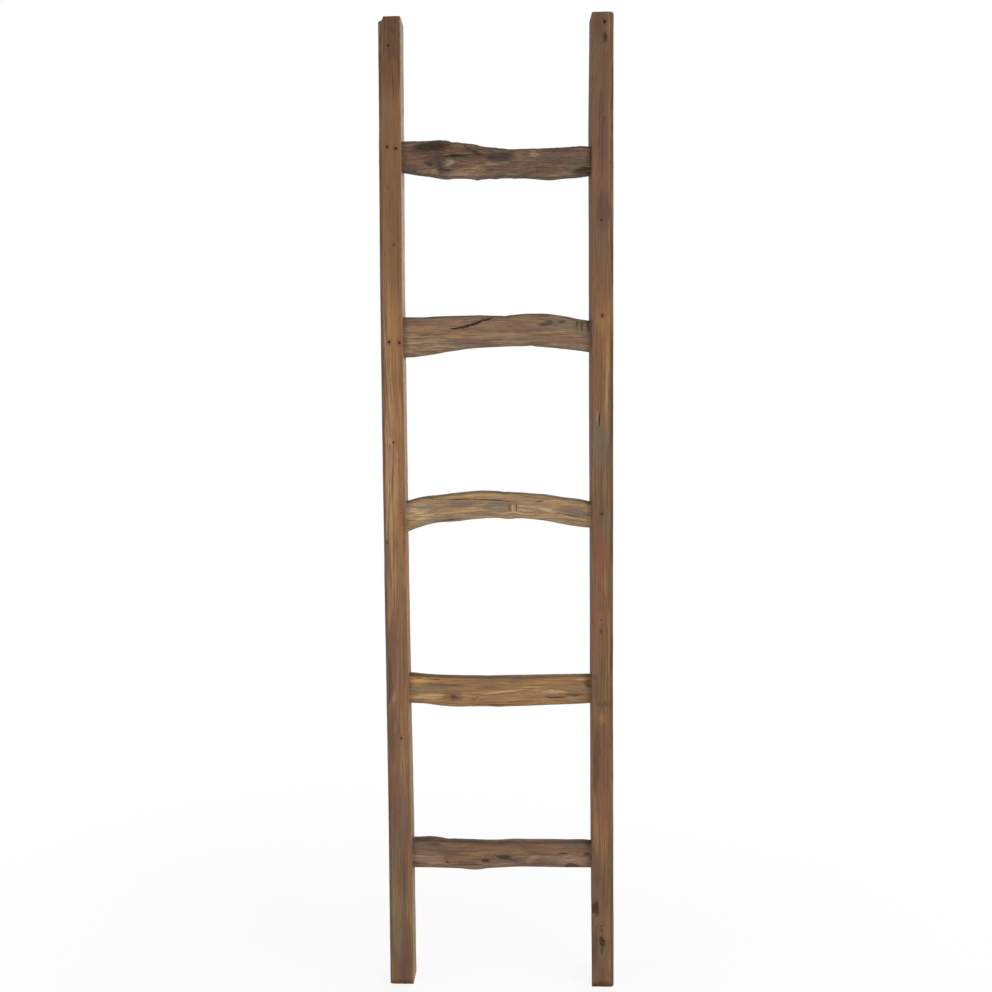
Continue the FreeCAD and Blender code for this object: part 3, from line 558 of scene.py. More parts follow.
class LADDER_PG_stage(bpy.types.PropertyGroup):
    floor: colour_setting("Floor", "Colour of the floor", 240, 240, 240)
    floor_size: length_setting("Floor size", "Width of the square floor", 12.0)
    camera_place: bpy.props.FloatVectorProperty(
        name="Camera place", description="Where the camera stands", subtype="XYZ", unit="LENGTH",
        default=(0.06915, -1.931, 1.061))
    camera_turn: bpy.props.FloatVectorProperty(
        name="Camera turn", description="Nod, roll and swing of the camera", subtype="EULER", unit="ROTATION",
        default=(math.radians(86.21), math.radians(-0.34), math.radians(2.19)))
    focal_length: bpy.props.FloatProperty(
        name="Focal length", description="Of the camera's lens, in millimetres", default=37.6,
        min=10, max=200)
    key_power: bpy.props.FloatProperty(
        name="Key", description="Power of the large lamp at the right, in watts", default=62, min=0)
    fill_power: bpy.props.FloatProperty(
        name="Fill", description="Power of the large lamp at the left, in watts", default=34, min=0)
    back_power: bpy.props.FloatProperty(
        name="Back", description="Power of the lamp behind the ladder, in watts", default=60, min=0)
    sky: bpy.props.FloatProperty(
        name="Sky", description="Level of the even light from all round", default=0.28, min=0, max=2)


# ---- noise ---------------------------------------------------------------------------------------
def scattered(cells, seed):
    """A steady random number from 0 to 1 for every whole-numbered point."""
    key = cells[..., 0] * 73856093 ^ cells[..., 1] * 19349663 ^ cells[..., 2] * 83492791
    key = (key + seed * 374761393) & 0xFFFFFFFF
    for shift, factor in ((15, 2246822519), (13, 3266489917)):
        key = ((key ^ (key >> shift)) * factor) & 0xFFFFFFFF
    return ((key ^ (key >> 16)) & 0xFFFFFF) / 0xFFFFFF


def noise(points, size, seed, layers=3):
    """Smooth noise from about -1 to 1; size is the width of its largest lumps along each axis."""
    total, weight = 0.0, 0.0
    for layer in range(layers):
        place = points / np.asarray(size, float) * 2.0 ** layer
        cells = np.floor(place).astype(np.int64)
        part = place - cells
        part = part * part * (3 - 2 * part)
        value = 0.0
        for corner in np.ndindex(2, 2, 2):
            share = np.prod(np.where(np.array(corner) == 1, part, 1 - part), axis=-1)
            value = value + share * scattered(cells + np.array(corner), seed + 17 * layer)
        total = total + (value * 2 - 1) * 0.5 ** layer
        weight += 0.5 ** layer
    return total / weight


def smooth(low, high, value):
    """0 below low, 1 above high, with a soft rise between; low may be the larger."""
    share = np.clip((value - low) / (high - low), 0, 1)
    return share * share * (3 - 2 * share)


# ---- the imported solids, read with rays -----------------------------------------------------------
class Solid:
    """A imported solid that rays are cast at, in millimetres."""

    def __init__(self, node):
        self.low, self.high = (np.array(corner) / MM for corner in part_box(node))
        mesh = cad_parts[node].data
        points = [vertex.co / MM for vertex in mesh.vertices]
        self.tree = BVHTree.FromPolygons(points, [list(face.vertices) for face in mesh.polygons])

    def hit(self, start, direction):
        place, _, _, _ = self.tree.ray_cast(Vector(start), Vector(direction).normalized())
        if place is None:
            raise RuntimeError(f"a ray from {tuple(start)} misses the solid")
        return np.array(place)


# ---- sections of the sticks ----------------------------------------------------------------------
def around(half_across, half_depth):
    """Share of the way round a squared section, from the middle of its back, and the angle there."""
    quarter_degrees = 1441
    angle = np.linspace(math.pi / 2, math.pi * 5 / 2, quarter_degrees)
    reach = 1 / np.maximum(np.abs(np.cos(angle)) / half_across, np.abs(np.sin(angle)) / half_depth)
    corner = np.stack([reach * np.cos(angle), reach * np.sin(angle)], -1)
    walked = np.concatenate([[0], np.cumsum(np.linalg.norm(np.diff(corner, axis=0), axis=-1))])
    return walked / walked[-1], angle, walked[-1]


class RailSection:
    """Squared timber: flat faces as packed, worn arrises, and the wane on the outer front one."""
    axes, turn = (Z, X, Y), 1
    rings, columns = 620, 148
    steps, steps_at_head = 240, 48
    clear_of_ends = 0.2
    clear_of_mortises = 15.0
    ray_start, wane_ray_start = 400.0, 200.0
    sharpness = 34.0
    wear_allowance = 0.9
    # The left rail's corner is broken this deep; it is made shallower and wider than in the solid.
    broken_depth, broken_drop, broken_width = 12.0, 0.8, 1.22
    # Where the grid is dense for that corner: below the top, and from the ladder's middle.
    corner_below, corner_across, corner_width, corner_pull = 8, 206, 6.0, 5.0
    # The middle line passes through every twelfth height. Above sound_depth it stays as it is below.
    middle_every, sound_depth, sound_step = 12, 14, -60
    lean_heights = (0, 146, 285, 617, 1167, 1607, 1751, 1800)
    lean_shares = (0.75, 0.35, -0.05, -0.3, -0.8, -1.1, -0.7, -0.6)

    def __init__(self, solid, side, twist):
        self.side = side
        self.low, self.high = solid.low[Z], solid.high[Z]
        self.half_depth = (solid.high[Y] - solid.low[Y]) / 2
        self.twist = twist
        self.heights = self.heights_between(self.low + self.clear_of_ends, self.high - self.clear_of_ends)
        self.outer = self.outer_face(solid) + side * self.wear_allowance
        inner = [solid.hit((0, self.clear_of_mortises, z), (side, 0, 0))[X] for z in self.heights]
        self.inner = np.array(inner) - side * self.wear_allowance
        middles = (self.outer + self.inner) / 2
        line = np.interp(self.heights, self.heights[::self.middle_every], middles[::self.middle_every])
        sound_top = self.high - self.sound_depth
        self.middle = np.where(self.heights > sound_top, line[self.sound_step], line)
        places = zip(np.minimum(self.heights, sound_top), self.middle)
        self.wane = np.array([self.wane_at(solid, z, centre) for z, centre in places])
        self.half_across = float(np.median(np.abs(self.outer - self.inner))) / 2
        corner = focus_at(self.high - self.corner_below, side * self.corner_across,
                          width=self.corner_width, pull=self.corner_pull, face="front")
        self.focuses = [corner] if side < 0 else []

    def heights_between(self, first, last):
        """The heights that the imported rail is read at, closer together at its head."""
        evenly = np.linspace(first, last, self.steps)
        at_head = np.linspace(self.high - self.broken_depth, last, self.steps_at_head)
        return np.unique(np.concatenate([evenly, at_head]))

    def outer_face(self, solid):
        """Where the outer face stands at each height, with the broken corner drawn out as worn."""
        from_head = self.high - self.heights
        broken = from_head < self.broken_depth
        levels = self.high - np.where(broken, from_head / self.broken_drop, from_head)
        start, inwards = self.side * self.ray_start, (-self.side, 0, 0)
        face = np.array([solid.hit((start, self.clear_of_mortises, z), inwards)[X] for z in levels])
        whole = np.interp(self.high - self.broken_depth, self.heights, face)
        return np.where(broken, whole + (face - whole) * self.broken_width, face)

    def wane_at(self, solid, z, centre):
        """Distance from the rail's middle line to the flat across its outer front arris."""
        outwards = np.array([self.side, -1, 0]) / math.sqrt(2)
        middle = np.array([centre, 0, z])
        return float((solid.hit(middle + outwards * self.wane_ray_start, -outwards) - middle) @ outwards)

    def centre(self, along):
        return np.interp(along, self.heights, self.middle), np.zeros_like(along)

    def lean(self, along):
        """How far the back of the inner face stands off its front, across the rail."""
        return self.twist * np.interp(along, self.lean_heights, self.lean_shares)

    def radius(self, along, angle, wear):
        """Reach from the middle line; each face holds the surface in, and wear rounds where they meet."""
        x, y = np.cos(angle), np.sin(angle)
        centre = np.interp(along, self.heights, self.middle)
        outer = np.interp(along, self.heights, self.outer) - centre
        inner = np.interp(along, self.heights, self.inner) - centre
        lean = self.lean(along)
        length = np.hypot(lean, 2 * self.half_depth)
        inner_out = (-self.side * 2 * self.half_depth * x + self.side * lean * y) / length
        inner_far = (np.abs(inner) * 2 * self.half_depth - self.side * lean * self.half_depth) / length
        wane = np.interp(along, self.heights, self.wane)
        held = np.stack([self.side * x / np.abs(outer), inner_out / inner_far, -y / self.half_depth,
                         y / self.half_depth, (self.side * x - y) / math.sqrt(2) / wane])
        held = np.maximum(held, 1e-9)
        most = held.max(axis=0)
        sharp = self.sharpness * wear
        return 1 / (most * ((held / most) ** sharp).sum(axis=0) ** (1 / sharp))


class RungSection:
    """A sawn slab with natural edges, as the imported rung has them."""
    axes, turn = (X, Z, Y), -1
    rings, columns = 400, 200
    steps = 64
    turns = 144
    clear_of_shoulders = 0.5
    # Where the shoulders are looked for: from the ladder's middle, and in from the back.
    shoulder_start, shoulder_cover = 150.0, 3.0
    focuses = []

    def __init__(self, solid):
        self.solid = solid
        self.shoulders = [self.shoulder(side) for side in (-1, 1)]
        self.low, self.high = self.shoulders[0] - SHOULDER_DEPTH, self.shoulders[1] + SHOULDER_DEPTH
        self.stations = np.linspace(self.shoulders[0] + self.clear_of_shoulders,
                                    self.shoulders[1] - self.clear_of_shoulders, self.steps)
        self.middle = np.array([self.mid_height(x) for x in self.stations])
        self.depth = np.array([self.mid_depth(x, z) for x, z in zip(self.stations, self.middle)])
        self.angles = np.linspace(0, 2 * math.pi, self.turns, endpoint=False)
        reach = np.array([[self.reach(x, z, y, angle) for angle in self.angles]
                          for x, z, y in zip(self.stations, self.middle, self.depth)])
        for _ in range(2):
            reach = (np.roll(reach, 1, 1) + 2 * reach + np.roll(reach, -1, 1)) / 4
        self.reach_table = reach
        self.half_across = float(np.median(reach[:, 0]))
        self.half_depth = float(np.median(reach[:, self.turns // 4]))

    def shoulder(self, side):
        """Where the slab ends against the rail, found with a ray that passes behind the tenon."""
        x = side * self.shoulder_start
        height = self.mid_height(x)
        back = self.solid.hit((x, self.solid.high[Y] + CLEAR, height), (0, -1, 0))[Y]
        return self.solid.hit((x, back - self.shoulder_cover, height), (side, 0, 0))[X]

    def mid_height(self, x):
        """Half way between the natural edges."""
        depth = (self.solid.low[Y] + self.solid.high[Y]) / 2
        top = self.solid.hit((x, depth, self.solid.high[Z] + CLEAR), (0, 0, -1))[Z]
        bottom = self.solid.hit((x, depth, self.solid.low[Z] - CLEAR), (0, 0, 1))[Z]
        return (top + bottom) / 2

    def mid_depth(self, x, z):
        """Half way between the sawn faces."""
        front = self.solid.hit((x, self.solid.low[Y] - CLEAR, z), (0, 1, 0))[Y]
        back = self.solid.hit((x, self.solid.high[Y] + CLEAR, z), (0, -1, 0))[Y]
        return (front + back) / 2

    def reach(self, x, z, y, angle):
        """How far the surface is from the middle line, at an angle that starts straight up."""
        start = np.array([x, y, z])
        found = self.solid.hit(start, (0, math.sin(angle), math.cos(angle)))
        return float(np.linalg.norm(found - start))

    def centre(self, along):
        return np.interp(along, self.stations, self.middle), np.interp(along, self.stations, self.depth)

    def radius(self, along, angle, wear):
        """Reach from the middle line, read off the table between its four nearest entries."""
        row = np.interp(along, self.stations, np.arange(self.steps))
        column = angle / (2 * math.pi) * self.turns
        row_low = np.clip(np.floor(row).astype(int), 0, self.steps - 2)
        column_low = np.floor(column).astype(int)
        row_part, column_part = row - row_low, column - column_low
        total = 0.0
        for step, turn in np.ndindex(2, 2):
            share = np.where(step, row_part, 1 - row_part)
            share = share * np.where(turn, column_part, 1 - column_part)
            total = total + share * self.reach_table[row_low + step, (column_low + turn) % self.turns]
        return total


# ---- the grid ------------------------------------------------------------------------------------
# At how many places along and round a stick the density of its grid is worked out.
FINE_ALONG, FINE_ROUND = 6000, 720
# How much denser the rings are at a stick's ends and where a crack slopes, and over what distance.
END_PULL, END_FADE, SLOPE_PULL, SLOPE_FADE = 7, 2.5, 3, 4
# How much denser the columns are on the front and at the arrises, and how much sparser at the back.
FRONT_PULL, ARRIS_PULL, ARRIS_FADE, BACK_EASE = 0.45, 1.2, 5, 0.2


class Focus(NamedTuple):
    """Somewhere along and round a stick where the grid is denser."""
    along: tuple
    across: tuple
    width: float
    pull: float
    face: str


def focus_at(along, across, width, pull, face):
    """A focus on a single spot."""
    return Focus((along, along), (across, across), width, pull, face)


def focuses_of(timber, nails):
    """Where the grid of a stick has to be dense: its cracks, knots, holes and nails."""
    found = [focus_at(hole.along, hole.across, width=3.2 * hole.radius, pull=4, face=hole.face)
             for hole in timber.holes]
    found += [focus_at(knot.along, knot.across, width=2.2 * knot.radius, pull=1.5, face=knot.face)
              for knot in timber.knots]
    found += [Focus(*zip(*crack.points), width=3.0, pull=4, face=crack.face) for crack in timber.cracks]
    found += [focus_at(nail.along, nail.across, width=7.0, pull=2.0, face=nail.face) for nail in nails]
    return found


def ring_places(section, count, focuses):
    """Places of the rings along a stick, closer together at its ends and where the grid has a focus."""
    along = np.linspace(section.low, section.high, FINE_ALONG)
    density = np.ones_like(along)
    for end in (section.low, section.high):
        density += END_PULL * np.exp(-np.abs(along - end) / END_FADE)
    for focus in focuses:
        if focus.along[0] == focus.along[-1]:
            density += focus.pull * np.exp(-((along - focus.along[0]) / focus.width) ** 2)
        for start, stop, low, high in zip(focus.along, focus.along[1:], focus.across, focus.across[1:]):
            if stop > start:
                steepness = min(1.0, abs(high - low) / (stop - start))
                beyond = np.maximum(start - along, along - stop)
                density += SLOPE_PULL * steepness * smooth(SLOPE_FADE, 0, beyond)
    walked = np.concatenate([[0], np.cumsum((density[1:] + density[:-1]) / 2)])
    return np.interp(np.linspace(0, walked[-1], count), walked, along)


def column_places(section, rings, count, focuses):
    """Angle of every column at every ring, so that columns run close together past each focus."""
    share, angles, girth = around(section.half_across, section.half_depth)
    spots = np.linspace(0, 1, FINE_ROUND, endpoint=False)
    angle = np.interp(spots, share, angles)
    cosine, sine = np.cos(angle), np.sin(angle)
    base = 1 + FRONT_PULL * np.clip(-sine, 0, 1) - BACK_EASE * np.clip(sine, 0, 1)
    corner = np.abs(np.abs(cosine) / section.half_depth - np.abs(sine) / section.half_across)
    base += ARRIS_PULL * np.exp(-(corner * section.half_depth * ARRIS_FADE) ** 2)
    density = np.repeat(base[None], len(rings), 0)
    for focus in focuses:
        centre, _ = section.centre(rings)
        across = np.interp(rings, focus.along, focus.across) - centre
        depth = section.half_depth * (-1 if focus.face == "front" else 1)
        bearing = (np.arctan2(depth, across) - math.pi / 2) % (2 * math.pi) + math.pi / 2
        where = np.interp(bearing, angles, share)
        past = np.maximum(focus.along[0] - rings, rings - focus.along[-1])
        near = smooth(2.2 * focus.width, 0.4 * focus.width, np.maximum(past, 0))
        off = (spots[None] - where[:, None]) * girth / (0.8 * focus.width)
        density += focus.pull * near[:, None] * np.exp(-off ** 2)
    walked = np.cumsum(density, axis=1)
    walked = np.concatenate([np.zeros((len(rings), 1)), walked], axis=1)
    spots = np.append(spots, 1)
    placed = [np.interp(np.arange(count) / count * line[-1], line, spots) for line in walked]
    return np.interp(np.array(placed), share, angles)


def outward(points, turn):
    """Normals of the surface that a closed grid of points describes."""
    up = np.gradient(points, axis=0)
    round_it = np.roll(points, -1, 1) - np.roll(points, 1, 1)
    normal = np.cross(round_it, up) * turn
    return normal / np.maximum(np.linalg.norm(normal, axis=-1, keepdims=True), 1e-9)


# ---- growth: the rings of the tree, bent round its knots ------------------------------------------
def face_share(normal, axes, face):
    """How squarely the surface looks towards a face of the stick."""
    _, across, depth = axes
    towards = {"front": -normal[..., depth], "back": normal[..., depth],
               "top": normal[..., across], "bottom": -normal[..., across]}[face]
    return smooth(0.15, 0.75, towards)


def growth(timber, place, normal, axes, seed):
    """Distance from the pith in millimetres, as the rings measure it, and how much of a knot is here."""
    along, across, depth = (place[..., axis] for axis in axes)
    still = np.stack([along, across * 0, depth * 0], -1)
    pith_across = timber.pith[0] + 7 * noise(still, (260, 1, 1), seed, 2)
    pith_depth = timber.pith[1] + 6 * noise(still, (340, 1, 1), seed + 1, 2)
    rings = np.hypot(across - pith_across, depth - pith_depth)
    rings += 1.6 * noise(place, swap((120, 30, 30), axes), seed + 2, 2)
    knotted = np.zeros_like(rings)
    # How softly the rings of the trunk and those of a branch run into each other.
    soft = 1.4
    for knot in timber.knots:
        faced = face_share(normal, axes, knot.face)
        off_along = (along - knot.along) / knot.stretch
        reach = np.hypot(off_along, across_of(timber, place, axes) - knot.across)
        reach += 0.14 * knot.radius * noise(place, (knot.radius,) * 3, seed + 5, 2)
        home = np.argmin(reach + 100 * (1 - faced))
        at_home = rings.ravel()[home]
        rings = rings - 0.8 * knot.radius * faced * np.exp(-(reach / (2.1 * knot.radius)) ** 2)
        branch = at_home + 2.4 * (reach - knot.radius) + 400 * (1 - faced)
        rings = -soft * np.logaddexp(-rings / soft, -branch / soft)
        inside = faced * smooth(1.25 * knot.radius, 0.75 * knot.radius, reach)
        knotted = np.maximum(knotted, inside * knot.depth_of_tone)
    return rings, knotted


def swap(sizes, axes):
    """Sizes given along, across and in depth, put in the order of the axes."""
    placed = [0.0, 0.0, 0.0]
    for axis, value in zip(axes, sizes):
        placed[axis] = value
    return placed


def across_of(timber, place, axes):
    """Across the stick as its marks measure it."""
    return place[..., axes[1]] - timber.level


# ---- relief --------------------------------------------------------------------------------------
def crack_shape(timber, crack, place, normal, axes):
    """How far into a crack each point is, from 0 at its lips to 1 at its root."""
    along = place[..., axes[0]]
    points_along, points_across = zip(*crack.points)
    wander = 0.5 * crack.width * noise(place, swap((9, 900, 900), axes), 71, 2)
    off = np.abs(across_of(timber, place, axes) - np.interp(along, points_along, points_across) - wander)
    share = np.clip((along - points_along[0]) / (points_along[-1] - points_along[0]), 0, 1)
    width = crack.width * (0.25 + 0.75 * np.sin(math.pi * share) ** 0.7)
    width *= 1 + crack.ragged * noise(place, swap((4.5, 2.2, 2.2), axes), 73, 2)
    beyond = np.maximum(points_along[0] - along, along - points_along[-1])
    shape = np.clip(1 - off / np.maximum(width, 0.1), 0, 1) * smooth(2.0, 0.0, beyond)
    return shape * face_share(normal, axes, crack.face)


def dent_shape(timber, dent, place, normal, axes):
    """A hollow or ridge with an uneven edge: 1 at its middle and 0 beyond its reach."""
    turn = math.radians(dent.lean)
    off_along = place[..., axes[0]] - dent.along
    off_across = across_of(timber, place, axes) - dent.across
    drift = noise(place, swap((16, 5, 5), axes), 75, 2)
    long_way = off_along * math.cos(turn) + off_across * math.sin(turn)
    short_way = off_across * math.cos(turn) - off_along * math.sin(turn) + 0.45 * dent.width * drift
    reach = np.hypot(long_way / dent.length, short_way / dent.width) * 2
    return smooth(1.2, 0.2, reach) * face_share(normal, axes, dent.face)


def round_shape(timber, spot, reach, place, normal, axes, stretch=1.0):
    """A soft round spot: 1 at its middle and 0 at its reach."""
    off = np.hypot((place[..., axes[0]] - spot.along) / stretch, across_of(timber, place, axes) - spot.across)
    return smooth(reach, 0.0, off) * face_share(normal, axes, spot.face)


# How deep the timber is dimpled round a nail's head, and how far from its middle.
NAIL_DIMPLE, NAIL_REACH = 0.7, 4.5


def relief(timber, place, normal, axes, rings, nails, planing, seed):
    """Height of the surface over the smooth form, and how hollow it is; the finish paints the hollow dark as
    shade.
    """
    along = place[..., axes[0]]
    hollow = np.zeros(place.shape[:-1])
    # Long waves that a plane or a saw left, ridges of hard late wood, small lumps and broad ones.
    height = planing * (noise(place, swap((110, 26, 26), axes), seed + 20, 2) - 1)
    ridges = np.stack([rings, along / 40, rings * 0], -1)
    height += 0.5 * timber.rough * (noise(ridges, (2.4, 1, 1), seed + 21, 2) - 0.6)
    height += 0.6 * timber.rough * (noise(place, swap((22, 7, 7), axes), seed + 22, 3) - 0.6)
    height += 2.0 * timber.rough ** 2 * (noise(place, swap((46, 11, 11), axes), seed + 24, 2) - 0.5)
    # Pits where fibres tore out, and furrows that the rain wore along the grain.
    pits = noise(place, swap((9, 3, 3), axes), seed + 23, 2)
    height -= 1.3 * timber.rough * smooth(0.45, 0.8, pits)
    flow = np.stack([0.7 * rings + 0.5 * place[..., axes[1]], along / 22, rings * 0], -1)
    furrow = np.clip(1 - 4.0 * np.abs(noise(flow, (3.4, 1, 1), seed + 25, 3)), 0, 1)
    furrow *= smooth(-0.25, 0.4, noise(place, swap((60, 16, 16), axes), seed + 26, 2)) * timber.rough ** 2
    height -= 1.2 * furrow
    hollow = np.maximum(hollow, 0.42 * furrow)
    for bump in timber.bumps:
        swelling = np.exp(-((along - bump.along) / (0.5 * bump.length)) ** 2)
        upwards = 1 if bump.edge == "top" else -1
        height += bump.height * upwards * swelling * face_share(normal, axes, bump.edge)
    for knot in timber.knots:
        height += knot.swell * round_shape(timber, knot, 1.5 * knot.radius, place, normal, axes, knot.stretch)
    for crack in timber.cracks:
        shape = crack_shape(timber, crack, place, normal, axes)
        height -= crack.depth * shape
        hollow = np.maximum(hollow, smooth(0.0, 0.45, shape))
    for dent in timber.dents:
        height -= dent.depth * dent_shape(timber, dent, place, normal, axes)
    for hole in timber.holes:
        shape = smooth(0.0, 0.75, round_shape(timber, hole, hole.radius, place, normal, axes))
        height -= hole.depth * shape
        hollow = np.maximum(hollow, shape)
    for nail in nails:
        height -= NAIL_DIMPLE * smooth(0.0, 0.6, round_shape(timber, nail, NAIL_REACH, place, normal, axes))
    return height, hollow


# How far a mark's outline may stray from its ellipse.
MOST_DRIFT_ALONG, MOST_DRIFT_ACROSS = 14, 5


def tones_of(timber, place, normal, axes, nails, seed):
    """How much of each tone is on every point."""
    along = place[..., axes[0]]
    across = across_of(timber, place, axes)
    wander = 0.3 * noise(place, swap((60, 12, 12), axes), seed + 40, 3)
    drift_along = noise(place, swap((34, 8, 8), axes), seed + 42, 3)
    drift_across = noise(place, swap((26, 9, 9), axes), seed + 43, 3)
    tones = {tone: np.zeros(place.shape[:-1]) for tone in TONES}
    for mark in timber.marks + strays(timber, place, axes, seed):
        turn = math.radians(mark.lean)
        off_along, off_across = along - mark.along, across - mark.across
        long_way = off_along * math.cos(turn) + off_across * math.sin(turn)
        short_way = off_across * math.cos(turn) - off_along * math.sin(turn)
        long_way = long_way + drift_along * min(0.45 * mark.length, MOST_DRIFT_ALONG)
        short_way = short_way + drift_across * min(0.6 * mark.width, MOST_DRIFT_ACROSS)
        reach = np.hypot(long_way / mark.length, short_way / mark.width) * 2
        amount = mark.amount * smooth(1.35, 0.55, reach + wander) * face_share(normal, axes, mark.face)
        tones[mark.tone] = np.maximum(tones[mark.tone], amount)
    for hole in timber.holes + tuple(nails):
        ring = round_shape(timber, hole, 3.4 * hole.radius, place, normal, axes, 1.5)
        tones["dark"] = np.maximum(tones["dark"], hole.stain * ring ** 2)
        tones["red"] = np.maximum(tones["red"], 0.75 * ring)
    # Painted shade, not dirt: each dent's hollow gets the dark tone, deepest at its middle; ridges get none.
    for dent in timber.dents:
        dirt = np.clip(0.3 * dent.depth, 0, 0.75) * dent_shape(timber, dent, place, normal, axes) ** 2
        tones["dark"] = np.maximum(tones["dark"], dirt)
    patchy = np.clip(0.5 + 0.9 * noise(place, swap((70, 20, 20), axes), seed + 41, 3), 0, 1.25)
    if timber.worn_side:
        facing_out = normal[..., axes[1]] * timber.worn_side
        dirty = worn = smooth(0.16, 0.55, facing_out) * (1 - 0.4 * smooth(0.8, 0.97, facing_out))
    else:
        dirty = smooth(0.35, 0.8, normal[..., axes[1]])
        worn = np.maximum(smooth(0.2, 0.7, -normal[..., axes[1]]), dirty)
    tones["grey"] = np.maximum(tones["grey"], timber.edge_grey * worn * np.clip(patchy, 0, 1))
    tones["dark"] = np.maximum(tones["dark"], timber.edge_dark * dirty * np.clip(1.25 - patchy, 0, 1))
    return tones


def strays(timber, place, axes, seed):
    """Marks for the faces that are seldom seen: streaks in seeded places along the stick."""
    chance = np.random.default_rng(seed)
    along = place[..., axes[0]]
    across = across_of(timber, place, axes)
    low, high = along.min(), along.max()
    one_mark_in = 55
    count = max(6, int((high - low) / one_mark_in))
    rail = timber in RAILS
    marks = []
    for face in ("back",) if rail else ("back", "top", "bottom"):
        for _ in range(count):
            tone = TONES[chance.integers(len(TONES))]
            length = chance.uniform(0.06, 0.22) * (high - low) if rail else chance.uniform(20, 90)
            marks.append(Mark(tone, chance.uniform(low, high), chance.uniform(across.min(), across.max()),
                              length, chance.uniform(4, 22), chance.uniform(0.3, 0.8), face=face))
    return tuple(marks)


# ---- meshes --------------------------------------------------------------------------------------
class Nail(NamedTuple):
    """Where a nail's head lies in a stick."""
    along: float
    across: float
    face: str
    radius: float = 2.6
    stain: float = 0.55


def nail_heads(node):
    """Middles of the heads in a packed group of nails, each from the corners that lie close together."""
    level_with, apart = 0.05, 8
    corners = [np.array(vertex.co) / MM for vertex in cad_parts[node].data.vertices]
    outermost = min if node == "front_nails" else max
    face = outermost(point[Y] for point in corners)
    heads = []
    for point in corners:
        if abs(point[Y] - face) > level_with:
            continue
        near = next((head for head in heads if np.linalg.norm(head[0] - point) < apart), None)
        if near is None:
            heads.append([point])
        else:
            near.append(point)
    return [(np.min(head, axis=0) + np.max(head, axis=0)) / 2 for head in heads]


def close_grid(points, cap_steps):
    """Vertices and faces of a closed stick: the grid, and a cap of shrinking rings at each end."""
    rings, columns = points.shape[:2]
    caps = []
    for end in (points[0], points[-1]):
        middle = end.mean(axis=0)
        caps.append([middle + (end - middle) * share for share in cap_steps])
    stacked = np.concatenate([np.array(caps[0])[::-1], points, np.array(caps[1])])
    total = len(stacked)
    ring = np.arange(total - 1)[:, None] * columns
    turn = np.arange(columns)[None]
    following = (turn + 1) % columns
    quads = np.stack([ring + turn, ring + following, ring + columns + following, ring + columns + turn], -1)
    vertices = np.concatenate([stacked.reshape(-1, 3), [stacked[0].mean(axis=0), stacked[-1].mean(axis=0)]])
    first, last = total * columns, total * columns + 1
    top = (total - 1) * columns
    fans = [(first, following[0][place], place) for place in range(columns)]
    fans += [(last, top + place, top + following[0][place]) for place in range(columns)]
    return vertices, quads.reshape(-1, 4).tolist() + [tuple(int(corner) for corner in fan) for fan in fans]


def spread(values, cap_steps):
    """An attribute of the grid, carried over the caps that close_grid adds and soon evened out on them."""
    caps, middles = [], []
    for end in (values[0], values[-1]):
        middle = end.mean(axis=0)
        caps.append(np.array([middle + (end - middle) * share ** 6 for share in cap_steps]))
        middles.append(middle)
    stacked = np.concatenate([caps[0][::-1], values, caps[1]])
    return np.concatenate([stacked.reshape((-1,) + values.shape[2:]), np.stack(middles)])


def add_attribute(mesh, name, values):
    """Three numbers on every vertex, for the materials to read."""
    attribute = mesh.attributes.new(name, "FLOAT_VECTOR", "POINT")
    attribute.data.foreach_set("vector", np.ascontiguousarray(values, np.float32).ravel())


def link_mesh(name, mesh, material):
    """An object of the mesh, with its one material, in the scene."""
    piece = bpy.data.objects.new(name, mesh)
    bpy.context.scene.collection.objects.link(piece)
    mesh.materials.clear()
    mesh.materials.append(material)
    return piece


# What a mesh carries beside its grain: three numbers under each name. The finish has a socket for each.
CARRIED = ("warm_red_pale", "plum_grey_dark", "arris_hollow_knot")
# Sizes of the rings that close an end, as shares of its outline.
CAP_STEPS = (0.985, 0.93, 0.82, 0.64, 0.42, 0.2)
# A circle of about a stick's size, on which its wear is worked out before its surface is known.
WEAR_RADIUS = 20


class Surface(NamedTuple):
    """The grid of a stick's surface, and what the materials have to know of each spot on it."""
    place: np.ndarray
    rings: np.ndarray
    girth: np.ndarray
    tones: dict
    arris: np.ndarray
    hollow: np.ndarray
    knotted: np.ndarray


